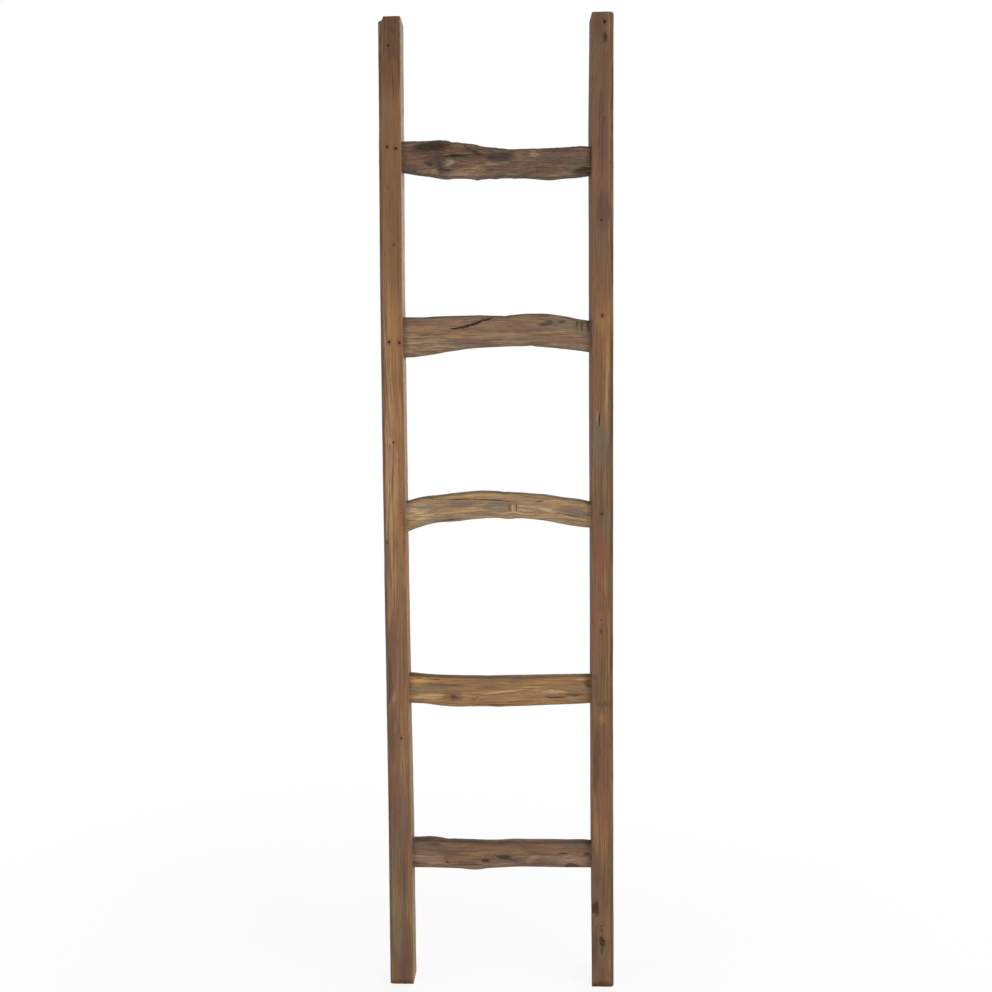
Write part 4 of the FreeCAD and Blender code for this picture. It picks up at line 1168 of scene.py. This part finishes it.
def surface_of(timber, section, nails, planing, seed):
    """The surface of a stick: its section, with wear, knots, cracks and eased ends."""
    axes = section.axes
    focuses = focuses_of(timber, nails) + section.focuses
    along = ring_places(section, section.rings, focuses)
    angle = column_places(section, along, section.columns, focuses)
    along = np.repeat(along[:, None], section.columns, 1)
    centre_across, centre_depth = section.centre(along)
    rough_place = np.stack([along, centre_across + WEAR_RADIUS * np.cos(angle),
                            centre_depth + WEAR_RADIUS * np.sin(angle)], -1)
    wear = np.exp(0.55 * noise(rough_place, (60, 14, 14), seed + 60, 3) - 0.15)
    nicks = smooth(0.35, 0.8, noise(rough_place, (16, 9, 9), seed + 61, 2))
    reach = section.radius(along, angle, np.clip(wear * (1 - 0.6 * nicks), 0.3, 2.4))
    place = np.zeros(along.shape + (3,))
    place[..., axes[0]] = along
    place[..., axes[1]] = centre_across + reach * np.cos(angle)
    place[..., axes[2]] = centre_depth + reach * np.sin(angle)
    normal = outward(place, section.turn)
    rings, knotted = growth(timber, place, normal, axes, seed)
    height, hollow = relief(timber, place, normal, axes, rings, nails, planing, seed)
    from_end = np.minimum(along - section.low, section.high - along)
    easing = 1.0 + 0.5 * noise(rough_place, (9, 5, 5), seed + 62, 2)
    inset = np.clip(1 - from_end / easing, 0, 1)
    height = height - easing * (1 - np.sqrt(1 - inset ** 2))
    shaped = place + normal * height[..., None]
    shaped[..., axes[0]] = along + (shaped[..., axes[0]] - along) * smooth(0, 3, from_end)
    shaped = np.clip(shaped, np.array(cad_box[0]) / MM, np.array(cad_box[1]) / MM)
    girth = np.unwrap(angle, axis=1) * (section.half_across + section.half_depth) / 2
    tones = tones_of(timber, place, normal, axes, nails, seed)
    # An arris is where the surface faces neither across nor in depth.
    slant = 1 - np.max(np.abs(normal[..., [axes[1], axes[2]]]), axis=-1)
    return Surface(shaped, rings, girth, tones, smooth(0.02, 0.22, slant), hollow, knotted)


def stick_mesh(timber, section, surface):
    """The closed mesh of a stick, with the attributes that its material reads."""
    axes = section.axes
    vertices, faces = close_grid(surface.place, CAP_STEPS)
    if section.turn < 0:
        faces = [tuple(reversed(face)) for face in faces]
    mesh = bpy.data.meshes.new(timber.node)
    mesh.from_pydata((vertices * MM).tolist(), [], faces)
    # An end shows the rings as circles round the pith.
    cap_rings = np.hypot(vertices[:, axes[1]] - timber.level - timber.pith[0],
                         vertices[:, axes[2]] - timber.pith[1])
    number = np.arange(len(vertices))
    first = len(CAP_STEPS) * section.columns
    last = (len(CAP_STEPS) + section.rings) * section.columns
    on_cap = (number < first) | (number >= last)
    rings = np.where(on_cap, cap_rings, spread(surface.rings, CAP_STEPS))
    girth = np.where(on_cap, vertices[:, axes[2]] * 2, spread(surface.girth, CAP_STEPS))
    toned = spread(np.stack([surface.tones[tone] for tone in TONES], -1), CAP_STEPS)
    # Rubbed arrises, the hollow share that the finish paints dark as shade, and knots.
    worn = spread(np.stack([surface.arris, surface.hollow, surface.knotted], -1), CAP_STEPS)
    add_attribute(mesh, "grain", np.stack([rings, girth, vertices[:, axes[0]]], -1))
    for name, values in zip(CARRIED, (toned[:, :3], toned[:, 3:], worn)):
        add_attribute(mesh, name, values)
    mesh.polygons.foreach_set("use_smooth", np.ones(len(mesh.polygons), bool))
    mesh.update()
    return mesh


def build_stick(timber, section, nails, planing, material, seed):
    """One stick of the ladder, with its own surface and its material."""
    surface = surface_of(timber, section, nails, planing, seed)
    return link_mesh(timber.node + "_timber", stick_mesh(timber, section, surface), material)


# ---- shader nodes --------------------------------------------------------------------------------
class Look(NamedTuple):
    """How strongly a timber shows its grain; streaks are measured in millimetres."""
    streak_length: float
    ring_depth: float
    line_depth: float
    mottling: float
    bump: float


RAIL_LOOK = Look(150, 0.22, 0.2, 0.3, 0.5)
SAWN_LOOK = Look(60, 0.28, 0.3, 0.55, 0.6)
ROUGH_LOOK = Look(36, 0.42, 0.5, 0.6, 0.9)


def put(tree, kind, inputs=None, **settings):
    """A node with its settings; an input that is a socket is joined, and any other value is set."""
    node = tree.nodes.new(kind)
    for name, value in settings.items():
        setattr(node, name, value)
    for name, value in (inputs or {}).items():
        if isinstance(value, bpy.types.NodeSocket):
            tree.links.new(value, node.inputs[name])
        else:
            node.inputs[name].default_value = value
    return node


def maths(tree, operation, first, second=0.0, third=0.0, clamp=False):
    """One step of arithmetic; only a few operations use the third value."""
    return put(tree, "ShaderNodeMath", {0: first, 1: second, 2: third}, operation=operation,
               use_clamp=clamp).outputs[0]


def stretched_noise(tree, vector, stretch, detail=2.0, rough=0.5):
    """Noise along the grain; stretch is how many lumps fit in a millimetre along each axis."""
    scaled = put(tree, "ShaderNodeVectorMath", {0: vector, 1: stretch}, operation="MULTIPLY").outputs[0]
    return put(tree, "ShaderNodeTexNoise",
               {"Vector": scaled, "Scale": 1.0, "Detail": detail, "Roughness": rough},
               noise_dimensions="3D").outputs["Fac"]


def rise(tree, value, low, high):
    """0 below low and 1 above high, with a soft rise between."""
    return put(tree, "ShaderNodeMapRange", {"Value": value, "From Min": low, "From Max": high},
               interpolation_type="SMOOTHSTEP").outputs[0]


def blend(tree, share, first, second, mode="MIX"):
    """The first colour with a share of the second; a Mix node's colour sockets are known by number."""
    node = put(tree, "ShaderNodeMix", data_type="RGBA", blend_type=mode)
    for socket, value in ((node.inputs[0], share), (node.inputs[6], first), (node.inputs[7], second)):
        if isinstance(value, bpy.types.NodeSocket):
            tree.links.new(value, socket)
        else:
            socket.default_value = value
    return node.outputs[2]


def new_group(name, inputs, outputs):
    """An empty shader node group with named sockets; returns it, its inputs and its output node."""
    group = bpy.data.node_groups.new(name, "ShaderNodeTree")
    for socket_name, kind, default in inputs:
        socket = group.interface.new_socket(socket_name, in_out="INPUT", socket_type=f"NodeSocket{kind}")
        socket.default_value = default
    for socket_name, kind in outputs:
        group.interface.new_socket(socket_name, in_out="OUTPUT", socket_type=f"NodeSocket{kind}")
    return group, group.nodes.new("NodeGroupInput").outputs, group.nodes.new("NodeGroupOutput").inputs


# What a timber's figure hands to its finish, and the colours that the finish lays on, by the tones.
FIGURE = ("Rings", "Streaks", "Lines", "Fibres", "Pores", "Blush", "Weathering")
TONE_COLOURS = tuple(tone.capitalize() for tone in TONES)
COLOURS = ("Heart", "Sap") + TONE_COLOURS


def socket_for(attribute):
    """The finish's name for what a mesh carries."""
    return attribute.replace("_", " ").title()


def timber_figure():
    """What the grain itself shows: growth rings, long streaks, fibres and open pores."""
    group, given, made = new_group(
        "Timber figure",
        [("Grain", "Vector", (0, 0, 0)), ("Ring Width", "Float", 3.0), ("Streak Length", "Float", 120.0),
         ("Unevenness", "Float", 1.0)],
        [(name, "Float") for name in FIGURE])
    grain = given["Grain"]
    split = put(group, "ShaderNodeSeparateXYZ", {0: grain})
    sway = stretched_noise(group, grain, (0.06, 0.03, 0.008), 3)
    offset = maths(group, "MULTIPLY", maths(group, "MULTIPLY", sway, given["Unevenness"]), 7.0)
    phase = maths(group, "DIVIDE", maths(group, "ADD", split.outputs[0], offset), given["Ring Width"])
    part = maths(group, "FRACT", phase)
    number = maths(group, "FLOOR", phase)
    strength = put(group, "ShaderNodeTexWhiteNoise", {"W": number}, noise_dimensions="1D").outputs["Value"]
    late = maths(group, "MULTIPLY", rise(group, part, 0.35, 0.9), rise(group, part, 1.0, 0.93))
    group.links.new(maths(group, "MULTIPLY", late, strength), made["Rings"])
    lengthwise = maths(group, "DIVIDE", 1.0, given["Streak Length"])
    by_length = put(group, "ShaderNodeCombineXYZ", {0: 0.45, 1: 0.16, 2: lengthwise}).outputs[0]
    group.links.new(stretched_noise(group, grain, by_length, 3, 0.62), made["Streaks"])
    group.links.new(stretched_noise(group, grain, (3.2, 2.2, 0.07), 2, 0.6), made["Fibres"])
    lengthwise = maths(group, "DIVIDE", 1.6, given["Streak Length"])
    thin = put(group, "ShaderNodeCombineXYZ", {0: 0.9, 1: 0.5, 2: lengthwise}).outputs[0]
    group.links.new(rise(group, stretched_noise(group, grain, thin, 3, 0.6), 0.54, 0.68), made["Lines"])
    group.links.new(rise(group, stretched_noise(group, grain, (0.08, 0.05, 0.011), 3, 0.6), 0.45, 0.66),
                    made["Blush"])
    group.links.new(rise(group, stretched_noise(group, grain, (0.05, 0.075, 0.014), 4, 0.6), 0.48, 0.68),
                    made["Weathering"])
    pores = rise(group, stretched_noise(group, grain, (2.4, 2.0, 0.16), 1), 0.62, 0.74)
    group.links.new(pores, made["Pores"])
    return group


# Painted shade for the depth of a crack, a furrow or a nail hole, in linear light.
HOLLOW_SHADE_COLOUR = (0.038, 0.021, 0.011, 1)


def reclaimed_finish():
    """Colour, roughness and height of old timber, from its figure and from the tones laid on it, with painted
    shade in its hollows.
    """
    sockets = [(name, "Color", (0.2, 0.15, 0.1, 1)) for name in COLOURS]
    sockets += [(name, "Float", 0.0) for name in FIGURE]
    sockets += [(socket_for(attribute), "Vector", (0, 0, 0)) for attribute in CARRIED]
    sockets += [("Ring Depth", "Float", 0.3), ("Line Depth", "Float", 0.3), ("Mottling", "Float", 0.4)]
    group, given, made = new_group(
        "Reclaimed finish", sockets, [("Colour", "Color"), ("Roughness", "Float"), ("Height", "Float")])
    # A tone frays along the streaks and fibres where it is neither full nor absent.
    ragged = maths(group, "MULTIPLY", maths(group, "SUBTRACT", given["Streaks"], 0.5), 8.0)
    fibrous = maths(group, "MULTIPLY", maths(group, "SUBTRACT", given["Fibres"], 0.5), 4.0)
    ragged = maths(group, "ADD", ragged, fibrous)
    colour = blend(group, rise(group, given["Streaks"], 0.34, 0.68), given["Heart"], given["Sap"])
    for mask, name in ((given["Blush"], "Red"), (given["Weathering"], "Plum")):
        colour = blend(group, maths(group, "MULTIPLY", mask, given["Mottling"]), colour, given[name])
    first, second, worn = (put(group, "ShaderNodeSeparateXYZ", {0: given[socket_for(attribute)]}).outputs
                           for attribute in CARRIED)
    for mask, name in zip(list(first) + list(second), TONE_COLOURS):
        uncertain = maths(group, "MULTIPLY", mask, maths(group, "SUBTRACT", 1.15, mask))
        frayed = maths(group, "ADD", mask, maths(group, "MULTIPLY", ragged, uncertain), clamp=True)
        colour = blend(group, maths(group, "MULTIPLY", frayed, 0.9), colour, given[name])
    shade = maths(group, "MULTIPLY_ADD", given["Fibres"], 0.5, 0.75)
    for mask, depth in (("Rings", given["Ring Depth"]), ("Lines", given["Line Depth"]), ("Pores", 0.35)):
        kept = maths(group, "SUBTRACT", 1.0, maths(group, "MULTIPLY", given[mask], depth))
        shade = maths(group, "MULTIPLY", shade, kept)
    grey = put(group, "ShaderNodeCombineColor", {0: shade, 1: shade, 2: shade}).outputs[0]
    colour = blend(group, 1.0, colour, grey, "MULTIPLY")
    arris, hollow, knot = worn
    colour = blend(group, maths(group, "MULTIPLY", knot, 0.72), colour,
                   blend(group, 0.45, given["Dark"], given["Red"]))
    rubbed = maths(group, "MULTIPLY", arris, rise(group, given["Streaks"], 0.4, 0.7))
    colour = blend(group, maths(group, "MULTIPLY", rubbed, 0.35), colour, given["Pale"])
    # Painted shade: cracks, furrows and nail holes are darkened towards near-black by their hollow share.
    colour = blend(group, maths(group, "MULTIPLY", hollow, 0.85), colour, HOLLOW_SHADE_COLOUR)
    group.links.new(colour, made["Colour"])
    rough = maths(group, "MULTIPLY_ADD", given["Fibres"], 0.2, 0.58)
    rough = maths(group, "SUBTRACT", rough, maths(group, "MULTIPLY", arris, 0.08))
    rough = maths(group, "ADD", rough, maths(group, "MULTIPLY", hollow, 0.2), clamp=True)
    group.links.new(rough, made["Roughness"])
    height = maths(group, "SUBTRACT", given["Fibres"], maths(group, "MULTIPLY", given["Pores"], 0.9))
    height = maths(group, "ADD", height, maths(group, "MULTIPLY", given["Rings"], 0.5))
    group.links.new(height, made["Height"])
    return group


def node_group(name, maker):
    """A shader node group that is built once and then shared."""
    return bpy.data.node_groups.get(name) or maker()


def linear(colour):
    """A picked colour in the linear light that shaders work in."""
    parts = (part / 12.92 if part < 0.04045 else ((part + 0.055) / 1.055) ** 2.4 for part in colour)
    return tuple(parts) + (1.0,)


def new_material(name):
    """A material with its tree and its Principled shader."""
    material = bpy.data.materials.new(name)
    material.use_nodes = True
    shader = material.node_tree.nodes["Principled BSDF"]
    return material, material.node_tree, shader


def timber_material(name, settings, timber, look):
    """Old timber: its figure and finish, from the grain that the mesh carries."""
    material, tree, shader = new_material(name)
    carried = {name: put(tree, "ShaderNodeAttribute", attribute_name=name).outputs["Vector"]
               for name in ("grain",) + CARRIED}
    figure = put(tree, "ShaderNodeGroup", node_tree=node_group("Timber figure", timber_figure))
    figure.inputs["Ring Width"].default_value = timber.ring_width
    figure.inputs["Streak Length"].default_value = look.streak_length
    tree.links.new(carried["grain"], figure.inputs["Grain"])
    finish = put(tree, "ShaderNodeGroup", node_tree=node_group("Reclaimed finish", reclaimed_finish))
    for colour in COLOURS:
        picked = getattr(settings, colour.lower())
        finish.inputs[colour].default_value = linear([part * by for part, by in zip(picked, timber.tint)])
    for output in FIGURE:
        tree.links.new(figure.outputs[output], finish.inputs[output])
    for name in CARRIED:
        tree.links.new(carried[name], finish.inputs[socket_for(name)])
    finish.inputs["Ring Depth"].default_value = look.ring_depth
    finish.inputs["Line Depth"].default_value = look.line_depth
    finish.inputs["Mottling"].default_value = look.mottling
    tree.links.new(finish.outputs["Colour"], shader.inputs["Base Color"])
    tree.links.new(finish.outputs["Roughness"], shader.inputs["Roughness"])
    shader.inputs["Specular IOR Level"].default_value = 0.12
    relief_node = put(tree, "ShaderNodeBump", {"Height": finish.outputs["Height"], "Strength": look.bump,
                                               "Distance": 0.0004})
    tree.links.new(relief_node.outputs["Normal"], shader.inputs["Normal"])
    return material


def iron_material(settings):
    """Dull, slightly rusted iron."""
    material, tree, shader = new_material("Nail iron")
    place = put(tree, "ShaderNodeTexCoord").outputs["Object"]
    rusted = put(tree, "ShaderNodeTexNoise", {"Vector": place, "Scale": 900.0, "Detail": 3.0}).outputs["Fac"]
    colour = blend(tree, rise(tree, rusted, 0.42, 0.62), linear(settings.iron), linear(settings.rust))
    tree.links.new(colour, shader.inputs["Base Color"])
    tree.links.new(rise(tree, rusted, -0.6, 1.2), shader.inputs["Roughness"])
    shader.inputs["Metallic"].default_value = 0.2
    shader.inputs["Specular IOR Level"].default_value = 0.15
    hammered = put(tree, "ShaderNodeBump", {"Height": rusted, "Strength": 0.6, "Distance": 0.0003})
    tree.links.new(hammered.outputs["Normal"], shader.inputs["Normal"])
    return material


# ---- nails, by geometry nodes --------------------------------------------------------------------
def lowered(tree, geometry, depth):
    """The geometry, moved down the nail by a depth."""
    place = put(tree, "ShaderNodeCombineXYZ", {2: maths(tree, "MULTIPLY", depth, -1.0)}).outputs[0]
    return put(tree, "GeometryNodeTransform", {"Geometry": geometry, "Translation": place}).outputs[0]


def nail_shape(tree, given):
    """One nail that points down: a low round head, a square shank and a point."""
    thickness, radius, length = given["Head Thickness"], given["Head Radius"], given["Length"]
    round_sides, square_sides = 14, 4
    half_thickness = maths(tree, "MULTIPLY", thickness, 0.5)
    crown = put(tree, "GeometryNodeMeshCone",
                {"Vertices": round_sides, "Side Segments": 3, "Fill Segments": 2, "Depth": half_thickness,
                 "Radius Top": maths(tree, "MULTIPLY", radius, 0.62), "Radius Bottom": radius})
    crown = lowered(tree, crown.outputs["Mesh"], half_thickness)
    rim = put(tree, "GeometryNodeMeshCylinder",
              {"Vertices": round_sides, "Radius": radius, "Depth": half_thickness})
    rim = lowered(tree, rim.outputs["Mesh"], maths(tree, "MULTIPLY", thickness, 0.75))
    straight = maths(tree, "MULTIPLY", length, 0.83)
    half_diagonal = maths(tree, "MULTIPLY", given["Shank Width"], 0.7071)
    shank = put(tree, "GeometryNodeMeshCone",
                {"Vertices": square_sides, "Radius Top": half_diagonal, "Radius Bottom": half_diagonal,
                 "Depth": maths(tree, "SUBTRACT", straight, thickness)})
    shank = lowered(tree, shank.outputs["Mesh"], straight)
    point = put(tree, "GeometryNodeMeshCone",
                {"Vertices": square_sides, "Radius Top": half_diagonal,
                 "Radius Bottom": maths(tree, "MULTIPLY", half_diagonal, 0.2),
                 "Depth": maths(tree, "SUBTRACT", length, straight)})
    point = lowered(tree, point.outputs["Mesh"], length)
    nail = put(tree, "GeometryNodeJoinGeometry")
    for stretch in (crown, rim, shank, point):
        tree.links.new(stretch, nail.inputs[0])
    return nail.outputs[0]


def nail_turns(tree, given):
    """How each nail is turned: level and into the timber, then a little off by hand."""
    quarter_turn = maths(tree, "MULTIPLY", given["Direction"], math.pi / 2)
    level = put(tree, "ShaderNodeCombineXYZ", {0: quarter_turn}).outputs[0]
    tilt, spin = 0.03, 0.7
    wobble = put(tree, "FunctionNodeRandomValue",
                 {0: (-tilt, -tilt, -spin), 1: (tilt, tilt, spin), "Seed": given["Seed"]},
                 data_type="FLOAT_VECTOR").outputs[0]
    return put(tree, "FunctionNodeRotateEuler", {"Rotation": level, "Rotate By": wobble},
               rotation_type="EULER", space="LOCAL").outputs[0]


def nail_tree(material):
    """A tree that drives a nail at each point of a mesh."""
    tree = bpy.data.node_groups.new("Driven nails", "GeometryNodeTree")
    for name, kind, default in (("Geometry", "Geometry", None), ("Head Radius", "Float", 0.0025),
                                ("Head Thickness", "Float", 0.001), ("Shank Width", "Float", 0.0028),
                                ("Length", "Float", 0.042), ("Direction", "Float", 1.0),
                                ("Seed", "Int", 0)):
        socket = tree.interface.new_socket(name, in_out="INPUT", socket_type=f"NodeSocket{kind}")
        if default is not None:
            socket.default_value = default
    tree.interface.new_socket("Geometry", in_out="OUTPUT", socket_type="NodeSocketGeometry")
    given = tree.nodes.new("NodeGroupInput").outputs
    driven = put(tree, "GeometryNodeInstanceOnPoints",
                 {"Points": given["Geometry"], "Instance": nail_shape(tree, given),
                  "Rotation": nail_turns(tree, given)}).outputs[0]
    whole = put(tree, "GeometryNodeRealizeInstances", {"Geometry": driven}).outputs[0]
    finished = put(tree, "GeometryNodeSetMaterial", {"Geometry": whole, "Material": material}).outputs[0]
    tree.links.new(finished, tree.nodes.new("NodeGroupOutput").inputs[0])
    return tree


def drive_nails(node, tree, settings, seed):
    """One mesh of the nails of a packed group, sunk a little below the face that they are driven into."""
    sunk = 0.5
    direction = 1 if node == "front_nails" else -1
    points = [Vector((head[X], head[Y] + direction * sunk, head[Z])) * MM for head in nail_heads(node)]
    mesh = bpy.data.meshes.new(node)
    mesh.from_pydata(points, [], [])
    carrier = bpy.data.objects.new(node + "_places", mesh)
    bpy.context.scene.collection.objects.link(carrier)
    modifier = carrier.modifiers.new("Driven nails", "NODES")
    modifier.node_group = tree
    values = {"Head Radius": settings.head_radius, "Head Thickness": settings.head_thickness,
              "Shank Width": settings.shank_width, "Length": settings.length, "Direction": float(direction),
              "Seed": seed}
    for socket in tree.interface.items_tree:
        if socket.in_out == "INPUT" and socket.name in values:
            modifier[socket.identifier] = values[socket.name]
    evaluated = carrier.evaluated_get(bpy.context.evaluated_depsgraph_get())
    plain = bpy.data.meshes.new_from_object(evaluated)
    plain.name = node
    bpy.data.objects.remove(carrier)
    return link_mesh(node + "_iron", plain, bpy.data.materials["Nail iron"])


# ---- operators -----------------------------------------------------------------------------------
RAIL_SEED, RUNG_SEED, SEED_STEP = 100, 300, 50
# Height of the waves that the saw left on the rungs.
SAW_WAVES = 0.2


def nails_in(piece_low, piece_high):
    """Heads of the nails that lie in the face of a rail."""
    found = []
    for node, face in (("front_nails", "front"), ("back_nails", "back")):
        for head in nail_heads(node):
            if piece_low[X] < head[X] < piece_high[X]:
                found.append(Nail(float(head[Z]), float(head[X]), face))
    return found


def seat(piece, node):
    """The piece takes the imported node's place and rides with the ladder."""
    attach(piece, "root")
    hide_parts(node)


class LADDER_OT_rails(bpy.types.Operator):
    """Builds the two rails"""
    bl_idname = "ladder.rails"
    bl_label = "Rails"

    def execute(self, context):
        settings = context.scene.ladder_rails
        for number, (timber, side) in enumerate(((LEFT_RAIL, -1), (RIGHT_RAIL, 1))):
            solid = Solid(timber.node)
            twist = settings.twist / MM if side > 0 else 0.0
            section = RailSection(solid, side, twist)
            material = timber_material(f"Rail timber {number + 1}", settings, timber, RAIL_LOOK)
            piece = build_stick(timber, section, nails_in(solid.low, solid.high), settings.planing / MM,
                                material, RAIL_SEED + SEED_STEP * number)
            seat(piece, timber.node)
        return {"FINISHED"}


class LADDER_OT_rungs(bpy.types.Operator):
    """Builds the five rungs"""
    bl_idname = "ladder.rungs"
    bl_label = "Rungs"

    def execute(self, context):
        for number, timber in enumerate(RUNGS):
            rough = timber is TOP_RUNG
            settings = context.scene.ladder_rough_rung if rough else context.scene.ladder_rungs
            name = f"{timber.node} timber".replace("_", " ").capitalize()
            material = timber_material(name, settings, timber, ROUGH_LOOK if rough else SAWN_LOOK)
            section = RungSection(Solid(timber.node))
            piece = build_stick(timber, section, [], SAW_WAVES, material, RUNG_SEED + SEED_STEP * number)
            seat(piece, timber.node)
        return {"FINISHED"}


class LADDER_OT_nails(bpy.types.Operator):
    """Drives the nails that hold the tenons"""
    bl_idname = "ladder.nails"
    bl_label = "Nails"

    def execute(self, context):
        settings = context.scene.ladder_nails
        tree = nail_tree(iron_material(settings))
        for seed, node in enumerate(("front_nails", "back_nails")):
            seat(drive_nails(node, tree, settings, seed), node)
        return {"FINISHED"}


class LADDER_OT_stage(bpy.types.Operator):
    """Sets the floor, the lamps, the sky and the camera"""
    bl_idname = "ladder.stage"
    bl_label = "Stage"

    def execute(self, context):
        settings = context.scene.ladder_stage
        make_floor(settings)
        make_sky(settings.sky)
        for name, place, power in (("Key", (2.5, -1.8, 2.0), settings.key_power),
                                   ("Fill", (-2.4, -1.9, 1.3), settings.fill_power),
                                   ("Back", (0.9, 2.6, 2.0), settings.back_power)):
            add_lamp(name, place, power)
        add_camera(settings)
        context.scene.view_settings.view_transform = "Standard"
        return {"FINISHED"}


def make_floor(settings):
    """A pale floor that looks almost white to the camera and still takes the ladder's shadow."""
    half = settings.floor_size / 2
    mesh = bpy.data.meshes.new("floor")
    corners = [(-half, -half, 0), (half, -half, 0), (half, half, 0), (-half, half, 0)]
    mesh.from_pydata(corners, [], [(0, 1, 2, 3)])
    material, tree, shader = new_material("Pale floor")
    shader.inputs["Base Color"].default_value = linear(settings.floor)
    shader.inputs["Roughness"].default_value = 0.9
    away = put(tree, "ShaderNodeVectorMath", {0: put(tree, "ShaderNodeTexCoord").outputs["Object"]},
               operation="LENGTH").outputs["Value"]
    whiteness = put(tree, "ShaderNodeMapRange", {"Value": away, "From Min": 0.3, "From Max": 1.6,
                                                 "To Min": 0.87, "To Max": 1.0}).outputs[0]
    glow = put(tree, "ShaderNodeEmission", {"Color": (1, 1, 1, 1), "Strength": 1.0})
    lit = put(tree, "ShaderNodeMixShader", {0: maths(tree, "MULTIPLY", seen_directly(tree), whiteness),
                                            1: shader.outputs[0], 2: glow.outputs[0]})
    tree.links.new(lit.outputs[0], tree.nodes["Material Output"].inputs["Surface"])
    return link_mesh("floor", mesh, material)


def seen_directly(tree):
    """1 for what the camera sees, straight or through a gloss or glass."""
    path = put(tree, "ShaderNodeLightPath")
    either = maths(tree, "MAXIMUM", path.outputs["Is Camera Ray"], path.outputs["Is Glossy Ray"])
    return maths(tree, "MAXIMUM", either, path.outputs["Is Transmission Ray"])


def make_sky(level):
    """Even light from all round, and a white background."""
    world = bpy.data.worlds.new("Even sky")
    world.use_nodes = True
    bpy.context.scene.world = world
    tree = world.node_tree
    strength = put(tree, "ShaderNodeMapRange", {"Value": seen_directly(tree), "To Min": level, "To Max": 1.0})
    background = tree.nodes["Background"]
    background.inputs["Color"].default_value = (1, 1, 1, 1)
    tree.links.new(strength.outputs[0], background.inputs["Strength"])


def add_lamp(name, place, power):
    """A large lamp that faces the ladder's middle."""
    width, height = 1.8, 2.16
    lamp = bpy.data.lights.new(name, "AREA")
    lamp.shape = "RECTANGLE"
    lamp.size, lamp.size_y = width, height
    lamp.energy = power
    holder = bpy.data.objects.new(name, lamp)
    holder.location = place
    middle = (cad_box[0] + cad_box[1]) / 2
    holder.rotation_euler = (Vector(place) - middle).to_track_quat("Z", "Y").to_euler()
    bpy.context.scene.collection.objects.link(holder)


def add_camera(settings):
    """The camera, swung and nodded first and then rolled about its own line of sight."""
    camera = bpy.data.cameras.new("Camera")
    camera.lens = settings.focal_length
    holder = bpy.data.objects.new("Camera", camera)
    holder.location = settings.camera_place
    nod, roll, swing = settings.camera_turn
    turned = Euler((nod, 0, swing)).to_matrix() @ Matrix.Rotation(roll, 3, "Z")
    holder.rotation_euler = turned.to_euler()
    bpy.context.scene.collection.objects.link(holder)
    bpy.context.scene.camera = holder


class LADDER_PT_panel(bpy.types.Panel):
    """Settings and steps of the ladder in the sidebar"""
    bl_label = "Blanket ladder"
    bl_idname = "LADDER_PT_panel"
    bl_space_type = "VIEW_3D"
    bl_region_type = "UI"
    bl_category = "Ladder"

    def draw(self, context):
        for operator, group in STEPS:
            box = self.layout.box()
            settings = getattr(context.scene, group)
            for name in settings.bl_rna.properties.keys():
                if name not in ("rna_type", "name"):
                    box.prop(settings, name)
            if operator:
                box.operator(operator.bl_idname)


STEPS = (
    (LADDER_OT_rails, "ladder_rails"),
    (None, "ladder_rough_rung"),
    (LADDER_OT_rungs, "ladder_rungs"),
    (LADDER_OT_nails, "ladder_nails"),
    (LADDER_OT_stage, "ladder_stage"),
)
SETTINGS = {"ladder_rails": LADDER_PG_rails, "ladder_rungs": LADDER_PG_rungs,
            "ladder_rough_rung": LADDER_PG_rough_rung, "ladder_nails": LADDER_PG_nails,
            "ladder_stage": LADDER_PG_stage}
OPERATORS = tuple(operator for operator, _ in STEPS if operator)
CLASSES = tuple(SETTINGS.values()) + OPERATORS + (LADDER_PT_panel,)


def register():
    for kind in CLASSES:
        bpy.utils.register_class(kind)
    for name, kind in SETTINGS.items():
        setattr(bpy.types.Scene, name, bpy.props.PointerProperty(type=kind))


def unregister():
    for name in SETTINGS:
        delattr(bpy.types.Scene, name)
    for kind in reversed(CLASSES):
        bpy.utils.unregister_class(kind)


def main():
    register()
    bpy.ops.ladder.rails()
    bpy.ops.ladder.rungs()
    bpy.ops.ladder.nails()
    bpy.ops.ladder.stage()


if __name__ == "__main__":
    main()
